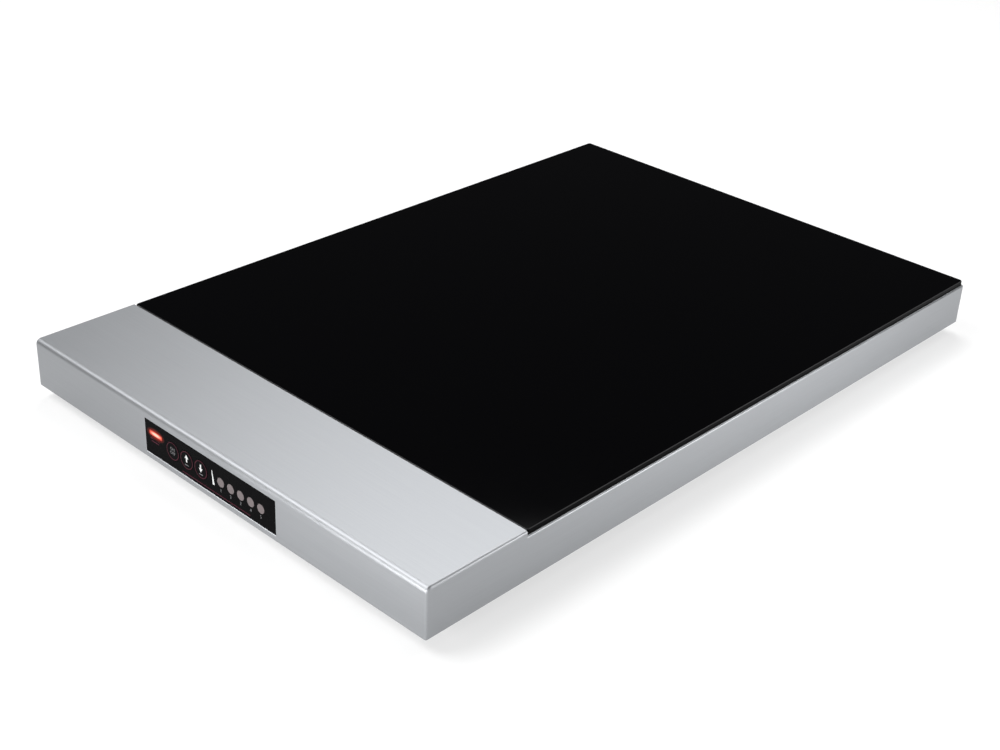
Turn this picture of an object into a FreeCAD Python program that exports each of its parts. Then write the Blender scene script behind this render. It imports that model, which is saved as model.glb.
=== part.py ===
import FreeCAD, Part
import math
import os
import Sketcher

# A countertop food warmer: a folded stainless casing under a flat black glass plate.
# Millimetres. Origin on the ground under the middle, +X right, -Y the control face, +Z up.

V = FreeCAD.Vector
Rule = Sketcher.Constraint
doc = FreeCAD.newDocument("food_warmer_tray")
sheet = doc.addObject("Spreadsheet::Sheet", "Sizes")

SIZES = {
    # Casing, folded from one sheet
    "casing_width": 500,
    "casing_depth": 750,
    "casing_height": 47,
    "casing_sheet": 1.2,
    "deck_depth": 104,
    "front_bend": 3,
    "casing_bend": 2,
    "ledge_width": 16,
    "flange_width": 12,
    "mitre_gap": 0.6,
    "aperture_corner": 6,
    # Glass and its bed
    "glass_thickness": 4,
    "glass_inset": 1.5,
    "glass_gap": 1,
    "glass_corner": 3,
    "glass_arris": 0.6,
    "seal_thickness": 1,
    "seal_lip": 1.5,
    # Heating stack under the glass
    "stack_gap": 1.5,
    "spreader_sheet": 1.5,
    "mat_thickness": 1.5,
    "track_thickness": 0.5,
    "track_width": 12,
    "track_gap": 14,
    "stack_margin": 12,
    "lead_slot_width": 26,
    "lead_slot_depth": 14,
    "lead_row_margin": 10,
    "probe_gap": 1.5,
    "probe_height": 6,
    "insulation_gap": 0.5,
    "tray_sheet": 1,
    "tray_flange_gap": 2,
    "tray_corner": 5,
    "bead_width": 10,
    "bead_depth": 1.5,
    "bead_corner": 3,
    "bead_margin": 40,
    "cutout_side": 60,
    "cutout_radius": 8,
    "cutout_height": 9,
    "insulation_thickness": 14,
    "tray_stud_margin": 60,
    # Base plate, bulkhead and feet
    "base_sheet": 1,
    "base_inset": 3,
    "base_corner": 3,
    "bulkhead_sheet": 1,
    "bulkhead_setback": 10,
    "bulkhead_foot": 12,
    "bulkhead_gap": 0.3,
    "grommet_bore": 5.2,
    "grommet_neck": 6.5,
    "grommet_lip": 1.6,
    "mains_rise": 12,
    "foot_height": 10,
    "foot_top_radius": 11,
    "foot_bottom_radius": 9,
    "foot_inset": 40,
    "foot_recess_radius": 4.8,
    "foot_recess_depth": 5.5,
    "louvre_length": 34,
    "louvre_depth": 8,
    "louvre_rise": 3,
    "louvre_pitch": 14,
    "louvre_wall": 1,
    "louvre_crown": 2.5,
    "louvre_column_pitch": 52,
    "louvre_columns": 3,
    "hot_louvre_rows": 6,
    "front_louvre_rows": 3,
    "louvre_bay_inset": 24,
    # Control window, looked at from the front
    "window_width": 170.5,
    "window_height": 33,
    "window_shift": 2.3,
    "window_rise": 5.4,
    "window_corner": 1,
    "window_gap": 0.25,
    "film_recess": 0.6,
    "film_thickness": 0.4,
    "carrier_skin": 2.2,
    "carrier_side_flange": 15,
    "carrier_edge_flange": 3,
    "key_radius": 8.5,
    "key_gap": 0.25,
    "key_first": 49.5,
    "key_pitch": 18.8,
    "key_rise": 22,
    "key_stop_width": 0.6,
    "key_stop_thickness": 1,
    "key_stop_gap": 0.1,
    "key_raise": 0.3,
    "key_stem_radius": 2,
    "plunger_radius": 1.7,
    "plunger_reach": 1.5,
    "plunger_length": 3.2,
    "lens_radius": 4.25,
    "lens_first": 13.6,
    "lens_pitch": 12.6,
    "lens_rise": 21.6,
    "lens_rim": 0.8,
    "lens_gap": 0.2,
    "lamp_width": 17,
    "lamp_height": 4.5,
    "lamp_corner": 0.8,
    "lamp_centre": 72.8,
    "lamp_rise": 26.8,
    "board_thickness": 1.6,
    "display_setback": 12,
    "display_edge_gap": 1.5,
    "display_screw_inset": 5,
    "boss_radius": 2.6,
    "switch_size": 6,
    "switch_depth": 3.5,
    "switch_floor": 0.8,
    "led_radius": 2.5,
    "led_front": 5,
    # Power electronics
    "power_board_width": 176,
    "power_board_depth": 64,
    "power_board_left": 34,
    "power_board_gap": 6,
    "spacer_height": 8,
    "spacer_inset": 5,
    "spacer_radius": 3,
    "ribbon_width": 24,
    "ribbon_thickness": 1,
    "ribbon_bend": 6,
    "header_depth": 8.5,
    "header_wall": 2,
    "header_thickness": 6,
    "header_drop": 8.4,
    "ribbon_place": 54,
    "ribbon_run": 3,
    "transformer_place": 110,
    "transformer_width": 46,
    "transformer_depth": 26,
    "transformer_height": 32,
    "core_limb": 9,
    "relay_place": 62,
    "relay_row": 30,
    "relay_width": 28,
    "relay_depth": 12,
    "relay_height": 15,
    "capacitor_place": 144,
    "capacitor_pitch": 20,
    "capacitor_radius": 5,
    "capacitor_height": 20,
    "fuse_place": 163,
    "fuse_length": 20,
    "fuse_radius": 2.5,
    "fuse_clip": 5,
    "fuse_clip_height": 7.5,
    "terminal_width": 24,
    "terminal_depth": 12,
    "terminal_height": 12,
    "supply_terminal_width": 16,
    # Mains inlet in the rear wall
    "inlet_side": 175,
    "inlet_rise": 14,
    "inlet_width": 27,
    "inlet_height": 19.6,
    "inlet_flange_width": 50,
    "inlet_flange_height": 22.5,
    "inlet_flange_thickness": 2.5,
    "inlet_body_depth": 22,
    "inlet_cavity_width": 24,
    "inlet_cavity_height": 16,
    "inlet_cavity_depth": 16,
    "inlet_screw_pitch": 40,
    "pin_width": 2,
    "pin_height": 4,
    "pin_spacing": 7,
    "pin_length": 13,
    "pin_offset": 2,
    "tab_length": 10,
    "inlet_key": 4.5,
    "inlet_corner": 3,
    "boot_depth": 16,
    "boot_wall": 1.5,
    # Leads
    "mains_lead_radius": 3.5,
    "mains_bend": 60,
    "lead_run": 30,
    "heater_lead_radius": 1.3,
    "probe_lead_radius": 0.9,
    "heater_lead_side": 6,
    "lead_spacing": 7,
    "wire_bend": 14,
    "clip_strap": 1,
    "clip_width": 8,
    "clip_tab": 6,
    "mains_terminal_width": 32,
    "mains_terminal_depth": 20,
    "mains_terminal_gap": 15,
    "terminal_cover": 2,
    # Fasteners
    "small_screw_radius": 1.4,
    "small_hole_radius": 1.6,
    "pilot_radius": 1.5,
    "screw_head_radius": 2.8,
    "screw_head_height": 1.8,
    "screw_end": 1,
    "base_screw_length": 5,
    "board_screw_length": 7,
    "inlet_screw_length": 8,
    "foot_screw_head": 3.8,
    "foot_screw_head_height": 2.4,
    "stud_radius": 2,
    "stud_hole_radius": 2.2,
    "stud_length": 7,
    "nut_size": 7,
    "nut_height": 3.2,
    "panel_stud_radius": 1.5,
    "panel_stud_length": 6,
    "panel_nut_size": 5.5,
    "panel_nut_height": 2.4,
}


class Size:
    """A length: its present value and the sheet formula that drives it."""

    def __init__(self, value, formula):
        self.value = float(value)
        self.formula = formula

    def __float__(self):
        return self.value

    def __neg__(self):
        return Size(-self.value, "(0 - %s)" % self.formula)

    def __add__(self, other):
        return Size(self.value + float(other), "(%s + %s)" % (self.formula, formula(other)))

    def __sub__(self, other):
        return Size(self.value - float(other), "(%s - %s)" % (self.formula, formula(other)))

    def __mul__(self, other):
        return Size(self.value * float(other), "(%s * %s)" % (self.formula, formula(other)))

    def __truediv__(self, other):
        return Size(self.value / float(other), "(%s / %s)" % (self.formula, formula(other)))

    def __radd__(self, other):
        return Size(float(other), formula(other)) + self

    def __rsub__(self, other):
        return Size(float(other), formula(other)) - self

    def __rmul__(self, other):
        return self * other


def formula(length):
    """The text that an expression uses for a length."""
    return length.formula if isinstance(length, Size) else "(%.6f)" % length


class Named:
    """The driving dimensions, one attribute each."""


def read_sizes():
    named = Named()
    for row, (alias, number) in enumerate(SIZES.items(), 1):
        sheet.set("A%d" % row, alias)
        sheet.set("B%d" % row, str(number))
        sheet.setAlias("B%d" % row, alias)
        setattr(named, alias, Size(number, "Sizes." + alias))
    return named


s = read_sizes()
doc.recompute()

# Planes that several pieces share
zero = 0
half_width = s.casing_width / 2
front = -s.casing_depth / 2
rear = s.casing_depth / 2
deck_edge = front + s.deck_depth
base_bottom = s.foot_height
base_top = base_bottom + s.base_sheet
casing_bottom = base_top
flange_top = casing_bottom + s.casing_sheet
casing_top = casing_bottom + s.casing_height
glass_bottom = casing_top - s.glass_thickness
shelf_top = glass_bottom - s.seal_thickness
shelf_under = shelf_top - s.casing_sheet
inner_side = half_width - s.casing_sheet
inner_front = front + s.casing_sheet
inner_rear = rear - s.casing_sheet
aperture_side = half_width - s.ledge_width
aperture_front = deck_edge + s.ledge_width
aperture_rear = rear - s.ledge_width
spreader_bottom = glass_bottom - s.spreader_sheet
mat_bottom = spreader_bottom - s.mat_thickness
track_bottom = mat_bottom - s.track_thickness
insulation_bottom = track_bottom - s.insulation_thickness
tray_bottom = insulation_bottom - s.tray_sheet
aperture_middle = (aperture_front + aperture_rear) / 2
glass_side = half_width - s.glass_inset
glass_front = deck_edge + s.glass_gap
glass_rear = rear - s.glass_inset
probe_radius = s.track_gap / 2 - s.probe_gap
lead_x = -s.heater_lead_side
lead_row = aperture_front + s.stack_margin + s.lead_row_margin
bulkhead_face = deck_edge - s.bulkhead_setback
window_left = -s.window_width / 2 - s.window_shift
window_right = window_left + s.window_width
window_bottom = casing_bottom + s.window_rise
window_top = window_bottom + s.window_height
film_face = front + s.film_recess
film_back = film_face + s.film_thickness
carrier_back = film_back + s.carrier_skin
display_face = front + s.display_setback
display_back = display_face + s.board_thickness
switch_face = display_face - s.switch_depth
key_line = casing_bottom + s.key_rise
lens_line = casing_bottom + s.lens_rise
lamp_line = casing_bottom + s.lamp_rise
inlet_x = -s.inlet_side
inlet_z = base_bottom + s.inlet_rise
board_bottom = base_top + s.spacer_height
board_top = board_bottom + s.board_thickness
board_rear = bulkhead_face - s.power_board_gap
board_front = board_rear - s.power_board_depth
board_left = -s.power_board_left
board_right = board_left + s.power_board_width
terminal_line = board_top + s.terminal_height / 2
ribbon_x = board_left + s.ribbon_place
ribbon_start = display_back + s.header_depth
ribbon_drop = ribbon_start + s.ribbon_run + s.ribbon_bend + s.ribbon_thickness / 2
ribbon_line = window_top - s.header_drop
inlet_back = rear - s.inlet_body_depth
inlet_face = rear + s.inlet_flange_thickness
cavity_floor = inlet_face - s.inlet_cavity_depth
boot_back = inlet_back - s.boot_depth
grommet_line = base_top + s.mains_rise
mains_line = base_top + s.clip_strap + s.mains_lead_radius
mains_terminal_rear = bulkhead_face - s.mains_terminal_gap

CUT = 1.0
NEAR = 0.01
PER_SKETCH = 4
SMALL_SIDES = 6
SCREW_SIDES = 8
FOOT_SIDES = 20
ROUND_SIDES = 24
CORNER = 1 / math.cos(math.pi / SMALL_SIDES)
BEND_STEP = math.radians(15)
MITRED = 1
NODES = {}
REARWARD = FreeCAD.Rotation(V(1, 0, 0), -90)
FORWARD = FreeCAD.Rotation(V(1, 0, 0), 90)
UPSIDE_DOWN = FreeCAD.Rotation(V(1, 0, 0), 180)


# Helpers that draw bound sketches and features

def bind(target, path, length):
    target.setExpression(path, formula(length))


def new_body(label):
    body = doc.addObject("PartDesign::Body", label)
    body.Label = label
    NODES[label] = body
    return body


def sketch_on(body, name, role, height):
    """A sketch on an origin plane, moved along the axis that the plane lacks."""
    drawing = body.newObject("Sketcher::SketchObject", name)
    plane = next(item for item in body.Origin.OriginFeatures if item.Role == role + "_Plane")
    drawing.AttachmentSupport = [(plane, "")]
    drawing.MapMode = "FlatFace"
    bind(drawing, "AttachmentOffset.Base.z", 0 - height if role == "XZ" else height + 0)
    return drawing


def constrain(drawing, fixed, measured):
    """Adds rules, then ties each measured one to its formula."""
    start = drawing.ConstraintCount
    drawing.addConstraint(fixed + [rule for rule, length in measured])
    for index, (rule, length) in enumerate(measured, start + len(fixed)):
        bind(drawing, "Constraints[%d]" % index, length)


def polygon(drawing, points):
    first = drawing.GeometryCount
    count = len(points)
    flat = [V(float(x), float(y), 0) for x, y in points]
    drawing.addGeometry([Part.LineSegment(flat[i], flat[(i + 1) % count]) for i in range(count)], False)
    joined = [Rule("Coincident", first + i, 2, first + (i + 1) % count, 1) for i in range(count)]
    places = []
    for i, (x, y) in enumerate(points):
        places.append((Rule("DistanceX", -1, 1, first + i, 1, float(x)), x))
        places.append((Rule("DistanceY", -1, 1, first + i, 1, float(y)), y))
    constrain(drawing, joined, places)


def rectangle(drawing, x0, x1, y0, y1):
    polygon(drawing, [(x0, y0), (x1, y0), (x1, y1), (x0, y1)])


def flatted(drawing, x, y, radius, sides):
    """A round outline drawn with flats that touch its circle from outside."""
    corner = radius / math.cos(math.pi / sides)
    turns = [math.pi / sides * (2 * step + 1) for step in range(sides)]
    polygon(drawing, [(x + corner * math.cos(turn), y + corner * math.sin(turn)) for turn in turns])


def small_rounds(body, name, role, height, places, radius):
    """Sketches of small holes or studs, a few to a sketch, so that each solves quickly."""
    for start in range(0, len(places), PER_SKETCH):
        drawing = sketch_on(body, "%s_%d" % (name, start // PER_SKETCH + 1), role, height)
        for x, y in places[start:start + PER_SKETCH]:
            flatted(drawing, x, y, radius, SMALL_SIDES)
        yield drawing


def clipped(drawing, x0, x1, y0, y1, trim):
    """A rectangle with its corners cut off."""
    polygon(drawing, [(x0 + trim, y0), (x1 - trim, y0), (x1, y0 + trim), (x1, y1 - trim),
                      (x1 - trim, y1), (x0 + trim, y1), (x0, y1 - trim), (x0, y0 + trim)])


def rounded(drawing, x0, x1, y0, y1, radius):
    """A rectangle with a tangent arc at each corner."""
    first = drawing.GeometryCount
    left, right, low, high, r = (float(value) for value in (x0, x1, y0, y1, radius))
    runs = [((left + r, low), (right - r, low)), ((right, low + r), (right, high - r)),
            ((right - r, high), (left + r, high)), ((left, high - r), (left, low + r))]
    centres = [(right - r, low + r), (right - r, high - r), (left + r, high - r), (left + r, low + r)]
    geometry = [Part.LineSegment(V(*a, 0), V(*b, 0)) for a, b in runs]
    for turn, centre in enumerate(centres):
        start = (turn - 1) * math.pi / 2
        ring = Part.Circle(V(*centre, 0), V(0, 0, 1), r)
        geometry.append(Part.ArcOfCircle(ring, start, start + math.pi / 2))
    drawing.addGeometry(geometry, False)
    rules = [Rule(kind, first + i) for i, kind in enumerate(("Horizontal", "Vertical") * 2)]
    for i in range(4):
        rules.append(Rule("Tangent", first + i, 2, first + 4 + i, 1))
        rules.append(Rule("Tangent", first + 4 + i, 2, first + (i + 1) % 4, 1))
    places = [(Rule("Radius", first + 4 + i, r), radius) for i in range(4)]
    places.append((Rule("DistanceY", -1, 1, first, 1, low), y0))
    places.append((Rule("DistanceX", -1, 1, first + 1, 1, right), x1))
    places.append((Rule("DistanceY", -1, 1, first + 2, 1, high), y1))
    places.append((Rule("DistanceX", -1, 1, first + 3, 1, left), x0))
    constrain(drawing, rules, places)


def feature(body, kind, drawing, suffix):
    made = body.newObject("PartDesign::" + kind, drawing.Name + suffix)
    made.Profile = drawing
    return made


def pad(body, drawing, length, middle=False, back=False):
    made = feature(body, "Pad", drawing, "_pad")
    if middle:
        made.SideType = "Symmetric"
    made.Reversed = back
    bind(made, "Length", length)
    return made


def pocket(body, drawing, length, middle=False, back=False):
    made = feature(body, "Pocket", drawing, "_cut")
    if middle:
        made.SideType = "Symmetric"
    made.Reversed = back
    bind(made, "Length", length)
    return made


def edge_lies(edge, place):
    box = edge.BoundBox
    spans = {"x": (box.XMin, box.XMax), "y": (box.YMin, box.YMax), "z": (box.ZMin, box.ZMax)}
    return all(abs(spans[axis][0] - float(at)) < NEAR and abs(spans[axis][1] - float(at)) < NEAR
               for axis, at in place.items())


def edges_at(shape, places):
    names = ["Edge%d" % (i + 1) for i, edge in enumerate(shape.Edges)
             if any(edge_lies(edge, place) for place in places)]
    if not names:
        raise RuntimeError("no edge lies where the bend was asked for")
    return names


def dress(body, kind, name, measure, length, places):
    """A fillet or chamfer on the edges that lie at the given coordinates."""
    doc.recompute()
    base = body.Tip
    made = body.newObject("PartDesign::" + kind, name)
    made.Base = (base, edges_at(base.Shape, places))
    bind(made, measure, length)
    return made


def fillet(body, name, radius, places):
    return dress(body, "Fillet", name, "Radius", radius, places)


def chamfer(body, name, size, places):
    return dress(body, "Chamfer", name, "Size", size, places)


def place_at(target, x, y, z):
    for axis, value in zip("xyz", (x, y, z)):
        bind(target, "Placement.Base." + axis, value)


def block(name, x0, x1, y0, y1, z0, z1):
    """A primitive box between six bound faces."""
    made = doc.addObject("Part::Box", name)
    bind(made, "Length", x1 - x0)
    bind(made, "Width", y1 - y0)
    bind(made, "Height", z1 - z0)
    place_at(made, x0, y0, z0)
    return made


def bar(name, x, y, z, radius, length):
    """A primitive upright bar with flats about a circle."""
    made = doc.addObject("Part::Prism", name)
    made.Polygon = SCREW_SIDES
    bind(made, "Circumradius", radius / math.cos(math.pi / SCREW_SIDES))
    bind(made, "Height", length)
    place_at(made, x, y, z)
    return made


def lying_bar(name, x, y, z, radius, length):
    """The same bar, lying towards the rear."""
    made = bar(name, x, y, z, radius, length)
    made.Placement.Rotation = REARWARD
    return made


def fused(name, pieces):
    made = doc.addObject("Part::MultiFuse", name)
    made.Shapes = pieces
    return made


def cut(name, base, tools):
    made = doc.addObject("Part::Cut", name)
    made.Base = base
    made.Tool = tools[0] if len(tools) == 1 else fused(name + "_tools", tools)
    return made


def group(name, pieces):
    made = doc.addObject("Part::Compound", name)
    made.Links = pieces
    return made


def keep(label, made):
    made.Label = label
    NODES[label] = made
    return made


def keep_shape(label, shape):
    made = doc.addObject("Part::Feature", label)
    made.Shape = shape
    made.Placement = FreeCAD.Placement()
    return keep(label, made)


def point(x, y, z):
    return V(float(x), float(y), float(z))


def corners(x, y):
    return [(sx * x, sy * y) for sx in (-1, 1) for sy in (-1, 1)]


# Casing

def skirt_profile(wall, floor):
    """Depth against height: front wall, deck, step, glass shelf, rear wall."""
    return [(front + wall, floor), (front + wall, casing_top - wall),
            (deck_edge - wall, casing_top - wall), (deck_edge - wall, shelf_top - wall),
            (rear - wall, shelf_top - wall), (rear - wall, floor)]


def sheet_bends():
    """Where the upright and the upper bends of the skirt run."""
    places = [{"y": rear, "z": shelf_top}]
    for x in (-half_width, half_width):
        places += [{"x": x, "y": front}, {"x": x, "y": rear}, {"x": x, "z": casing_top},
                   {"x": x, "z": shelf_top}]
    return places


def tray_stud_places():
    """Studs under the glass ledge, in the middle of its width."""
    side = aperture_side + s.ledge_width / 2
    near = deck_edge + s.ledge_width / 2
    far = rear - s.ledge_width / 2
    reach = (far - near) / 2 - s.tray_stud_margin
    middle = (near + far) / 2
    across = aperture_side - s.tray_stud_margin
    places = [(sx * side, middle + step * reach) for sx in (-1, 1) for step in (-1, 0, 1)]
    return places + [(step * across, y) for y in (near, far) for step in (-1, 0, 1)]


def base_screw_places():
    """Screws of the base plate, in the middle of the casing's return flange."""
    side = half_width - s.flange_width / 2
    end = rear - s.flange_width / 2
    along = [end / 3 * step for step in (-2, 0, 2)]
    across = [side / 2 * step for step in (-1, 1)]
    places = [(sx * side, y) for sx in (-1, 1) for y in along]
    return places + [(x, sy * end) for sy in (-1, 1) for x in across]


def panel_stud_places():
    reach = s.carrier_side_flange / 2
    low = window_bottom + s.window_height / 4
    high = window_top - s.window_height / 4
    return [(x, z) for x in (window_left - reach, window_right + reach) for z in (low, high)]


def make_casing():
    body = new_body("casing")
    outside = sketch_on(body, "casing_outside", "YZ", zero)
    polygon(outside, skirt_profile(zero, casing_bottom))
    pad(body, outside, s.casing_width, middle=True)
    fillet(body, "casing_front_bend", s.front_bend, [{"y": front, "z": casing_top}])
    fillet(body, "casing_bends", s.casing_bend, sheet_bends())
    chamfer(body, "casing_return_bends", s.casing_bend / 2, [{"z": casing_bottom}])
    inside = sketch_on(body, "casing_inside", "YZ", zero)
    polygon(inside, skirt_profile(s.casing_sheet, flange_top))
    pocket(body, inside, s.casing_width - 2 * s.casing_sheet, middle=True)
    fillet(body, "casing_inner_bend", s.front_bend - s.casing_sheet,
           [{"y": inner_front, "z": casing_top - s.casing_sheet}])
    cut_casing_openings(body)
    add_casing_studs(body)


def cut_casing_openings(body):
    lip = inner_side - s.flange_width
    lip_end = inner_rear - s.flange_width
    bottom = sketch_on(body, "casing_bottom_opening", "XY", flange_top)
    rectangle(bottom, -lip, lip, -lip_end, lip_end)
    pocket(body, bottom, s.casing_sheet + CUT)
    mitres = sketch_on(body, "casing_mitres", "XY", flange_top)
    for sx, sy in corners(1, 1):
        polygon(mitres, [(sx * (lip - s.mitre_gap), sy * lip_end), (sx * lip, sy * (lip_end - s.mitre_gap)),
                         (sx * inner_side, sy * (inner_rear - s.mitre_gap)),
                         (sx * (inner_side - s.mitre_gap), sy * inner_rear)])
    pocket(body, mitres, s.casing_sheet + CUT)
    aperture = sketch_on(body, "casing_glass_aperture", "XY", shelf_top)
    clipped(aperture, -aperture_side, aperture_side, aperture_front, aperture_rear, s.aperture_corner)
    pocket(body, aperture, s.casing_sheet + CUT)
    window = sketch_on(body, "casing_window", "XZ", front)
    rounded(window, window_left, window_right, window_bottom, window_top, s.window_corner)
    pocket(body, window, s.casing_sheet + CUT)
    inlet = sketch_on(body, "casing_inlet_hole", "XZ", inner_rear - CUT)
    rounded(inlet, inlet_x - s.inlet_width / 2 - s.window_gap, inlet_x + s.inlet_width / 2 + s.window_gap,
            inlet_z - s.inlet_height / 2 - s.window_gap, inlet_z + s.inlet_height / 2 + s.window_gap,
            s.window_corner)
    for side in (-1, 1):
        flatted(inlet, inlet_x + side * s.inlet_screw_pitch / 2, inlet_z, s.small_hole_radius, SMALL_SIDES)
    pocket(body, inlet, s.casing_sheet + 2 * CUT)
    for holes in small_rounds(body, "casing_flange_holes", "XY", flange_top, base_screw_places(),
                              s.small_hole_radius):
        pocket(body, holes, s.casing_sheet + CUT)


def add_casing_studs(body):
    for studs in small_rounds(body, "casing_ledge_studs", "XY", shelf_under, tray_stud_places(),
                              s.stud_radius):
        pad(body, studs, s.stud_length, back=True)
    for studs in small_rounds(body, "casing_panel_studs", "XZ", inner_front, panel_stud_places(),
                              s.panel_stud_radius):
        pad(body, studs, s.panel_stud_length, back=True)


# Glass and its bed

def make_glass():
    body = new_body("glass_top")
    plate = sketch_on(body, "glass_outline", "XY", glass_bottom)
    rounded(plate, -glass_side, glass_side, glass_front, glass_rear, s.glass_corner)
    pad(body, plate, s.glass_thickness)
    chamfer(body, "glass_arrises", s.glass_arris, [{"z": casing_top}])


def make_seal():
    body = new_body("glass_seal")
    ring = sketch_on(body, "seal_ring", "XY", shelf_top)
    outer = glass_side - s.seal_lip
    inner = aperture_side + s.seal_lip
    clipped(ring, -outer, outer, glass_front + s.seal_lip, glass_rear - s.seal_lip, s.glass_corner)
    clipped(ring, -inner, inner, aperture_front - s.seal_lip, aperture_rear + s.seal_lip, s.glass_corner)
    pad(body, ring, s.seal_thickness)


# Heating stack, from the glass down

def stack_sheet(label, margin, bottom, thickness, hole):
    """One flat sheet of the stack, with a round hole for the probe where it has one."""
    body = new_body(label)
    outline = sketch_on(body, label + "_outline", "XY", bottom)
    side = aperture_side - margin
    clipped(outline, -side, side, aperture_front + margin, aperture_rear - margin, s.aperture_corner)
    if hole:
        flatted(outline, zero, aperture_middle, probe_radius + s.probe_gap, SMALL_SIDES)
    pad(body, outline, thickness)
    return body


def make_stack():
    stack_sheet("heat_spreader", s.stack_gap, spreader_bottom, s.spreader_sheet, False)
    stack_sheet("heater_mat", s.stack_margin, mat_bottom, s.mat_thickness, True)
    board = stack_sheet("insulation_board", s.insulation_gap, insulation_bottom, s.insulation_thickness, True)
    slot = sketch_on(board, "insulation_lead_slot", "XY", track_bottom)
    lead_slot(slot)
    pocket(board, slot, s.insulation_thickness + CUT)


def lead_slot(drawing):
    reach = s.lead_slot_width / 2
    depth = s.lead_slot_depth / 2
    rectangle(drawing, lead_x - reach, lead_x + reach, lead_row - depth, lead_row + depth)


def make_track():
    """One foil track that runs from side to side, row after row, under the mat."""
    side = float(aperture_side - 2 * s.stack_margin)
    width, pitch = float(s.track_width), float(s.track_width + s.track_gap)
    reach = float(aperture_rear - aperture_front - 4 * s.stack_margin)
    rows = 2 * int((reach + float(s.track_gap)) / (2 * pitch))
    start = float(aperture_middle) - rows * pitch / 2 + float(s.track_gap) / 2
    bottom, thickness = float(track_bottom), float(s.track_thickness)
    strips = [Part.makeBox(2 * side, width, thickness, V(-side, start + row * pitch, bottom))
              for row in range(rows)]
    for row in range(rows - 1):
        x = side - width if row % 2 else -side
        strips.append(Part.makeBox(width, pitch + width, thickness, V(x, start + row * pitch, bottom)))
    track = strips[0].multiFuse(strips[1:]).removeSplitter()
    keep_shape("heating_track", track.Solids[0])


def make_probe():
    can = bar("probe_can", zero, aperture_middle, spreader_bottom - s.probe_height, probe_radius, s.probe_height)
    keep("temperature_probe", can)


def make_tray():
    body = new_body("heater_tray")
    wall = s.tray_sheet
    outer = sketch_on(body, "tray_outside", "XY", tray_bottom)
    clipped(outer, -aperture_side - wall, aperture_side + wall, aperture_front - wall, aperture_rear + wall,
            s.tray_corner + wall)
    pad(body, outer, shelf_under - tray_bottom)
    rim = sketch_on(body, "tray_rim", "XY", shelf_under - wall)
    side = inner_side - s.tray_flange_gap
    clipped(rim, -side, side, deck_edge - s.casing_sheet + s.tray_flange_gap, inner_rear - s.tray_flange_gap,
            s.tray_corner)
    pad(body, rim, wall)
    cavity = sketch_on(body, "tray_cavity", "XY", shelf_under)
    clipped(cavity, -aperture_side, aperture_side, aperture_front, aperture_rear, s.tray_corner)
    pocket(body, cavity, shelf_under - insulation_bottom)
    beads = sketch_on(body, "tray_beads", "XY", tray_bottom)
    troughs = sketch_on(body, "tray_bead_troughs", "XY", insulation_bottom)
    reach = aperture_side / 2
    for x in (-reach, reach):
        bead(beads, x, s.bead_width / 2)
        bead(troughs, x, s.bead_width / 2 - wall)
    pad(body, beads, s.bead_depth, back=True)
    pocket(body, troughs, s.bead_depth)
    floor = sketch_on(body, "tray_floor_holes", "XY", insulation_bottom)
    lead_slot(floor)
    flatted(floor, zero, aperture_middle, probe_radius + s.probe_gap, SMALL_SIDES)
    pocket(body, floor, wall + CUT)
    for holes in small_rounds(body, "tray_stud_holes", "XY", shelf_under, tray_stud_places(),
                              s.stud_hole_radius):
        pocket(body, holes, wall + CUT)


def bead(drawing, x, half):
    """The outline of one stiffening bead pressed along the tray's floor."""
    start = aperture_front + s.bead_margin
    end = aperture_rear - s.bead_margin
    trim = s.bead_width / 2 - half
    clipped(drawing, x - half, x + half, start + trim, end - trim, s.bead_corner)


# Bulkhead, grommets and base plate

def make_bulkhead():
    body = new_body("bulkhead")
    side = inner_side - s.bulkhead_gap
    step = inner_side - s.flange_width - s.bulkhead_gap
    low = base_top
    shoulder = flange_top + s.bulkhead_gap
    top = casing_top - s.casing_sheet - s.bulkhead_gap
    wall = sketch_on(body, "bulkhead_wall", "XZ", bulkhead_face)
    polygon(wall, [(-step, low), (step, low), (step, shoulder), (side, shoulder),
                   (side, top), (-side, top), (-side, shoulder), (-step, shoulder)])
    pad(body, wall, s.bulkhead_sheet, back=True)
    foot = sketch_on(body, "bulkhead_foot_flange", "XY", base_top)
    rectangle(foot, -step, step, bulkhead_face, bulkhead_face + s.bulkhead_foot)
    pad(body, foot, s.bulkhead_sheet)
    holes = sketch_on(body, "bulkhead_grommet_holes", "XZ", bulkhead_face)
    for x, z in grommet_places():
        flatted(holes, x, z, s.grommet_neck, SMALL_SIDES)
    pocket(body, holes, s.bulkhead_sheet)
    screws = sketch_on(body, "bulkhead_screw_holes", "XY", base_top + s.bulkhead_sheet)
    for x, y in bulkhead_screw_places():
        flatted(screws, x, y, s.small_hole_radius, SMALL_SIDES)
    pocket(body, screws, s.bulkhead_sheet)


def grommet_places():
    return [(inlet_x, grommet_line), (lead_x, terminal_line)]


def bulkhead_screw_places():
    row = bulkhead_face + s.bulkhead_sheet / 2 + s.bulkhead_foot / 2
    reach = half_width - s.foot_inset * 2
    return [(x, row) for x in (-reach, reach)]


def copies(shape, places, rotation=None):
    """Equal solids at several places, as one group."""
    turned_shape = shape.copy()
    if rotation:
        turned_shape.Placement = FreeCAD.Placement(V(0, 0, 0), rotation)
    made = []
    for x, y, z in places:
        copy = turned_shape.copy()
        copy.translate(point(x, y, z))
        made.append(copy)
    return Part.makeCompound(made)


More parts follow.
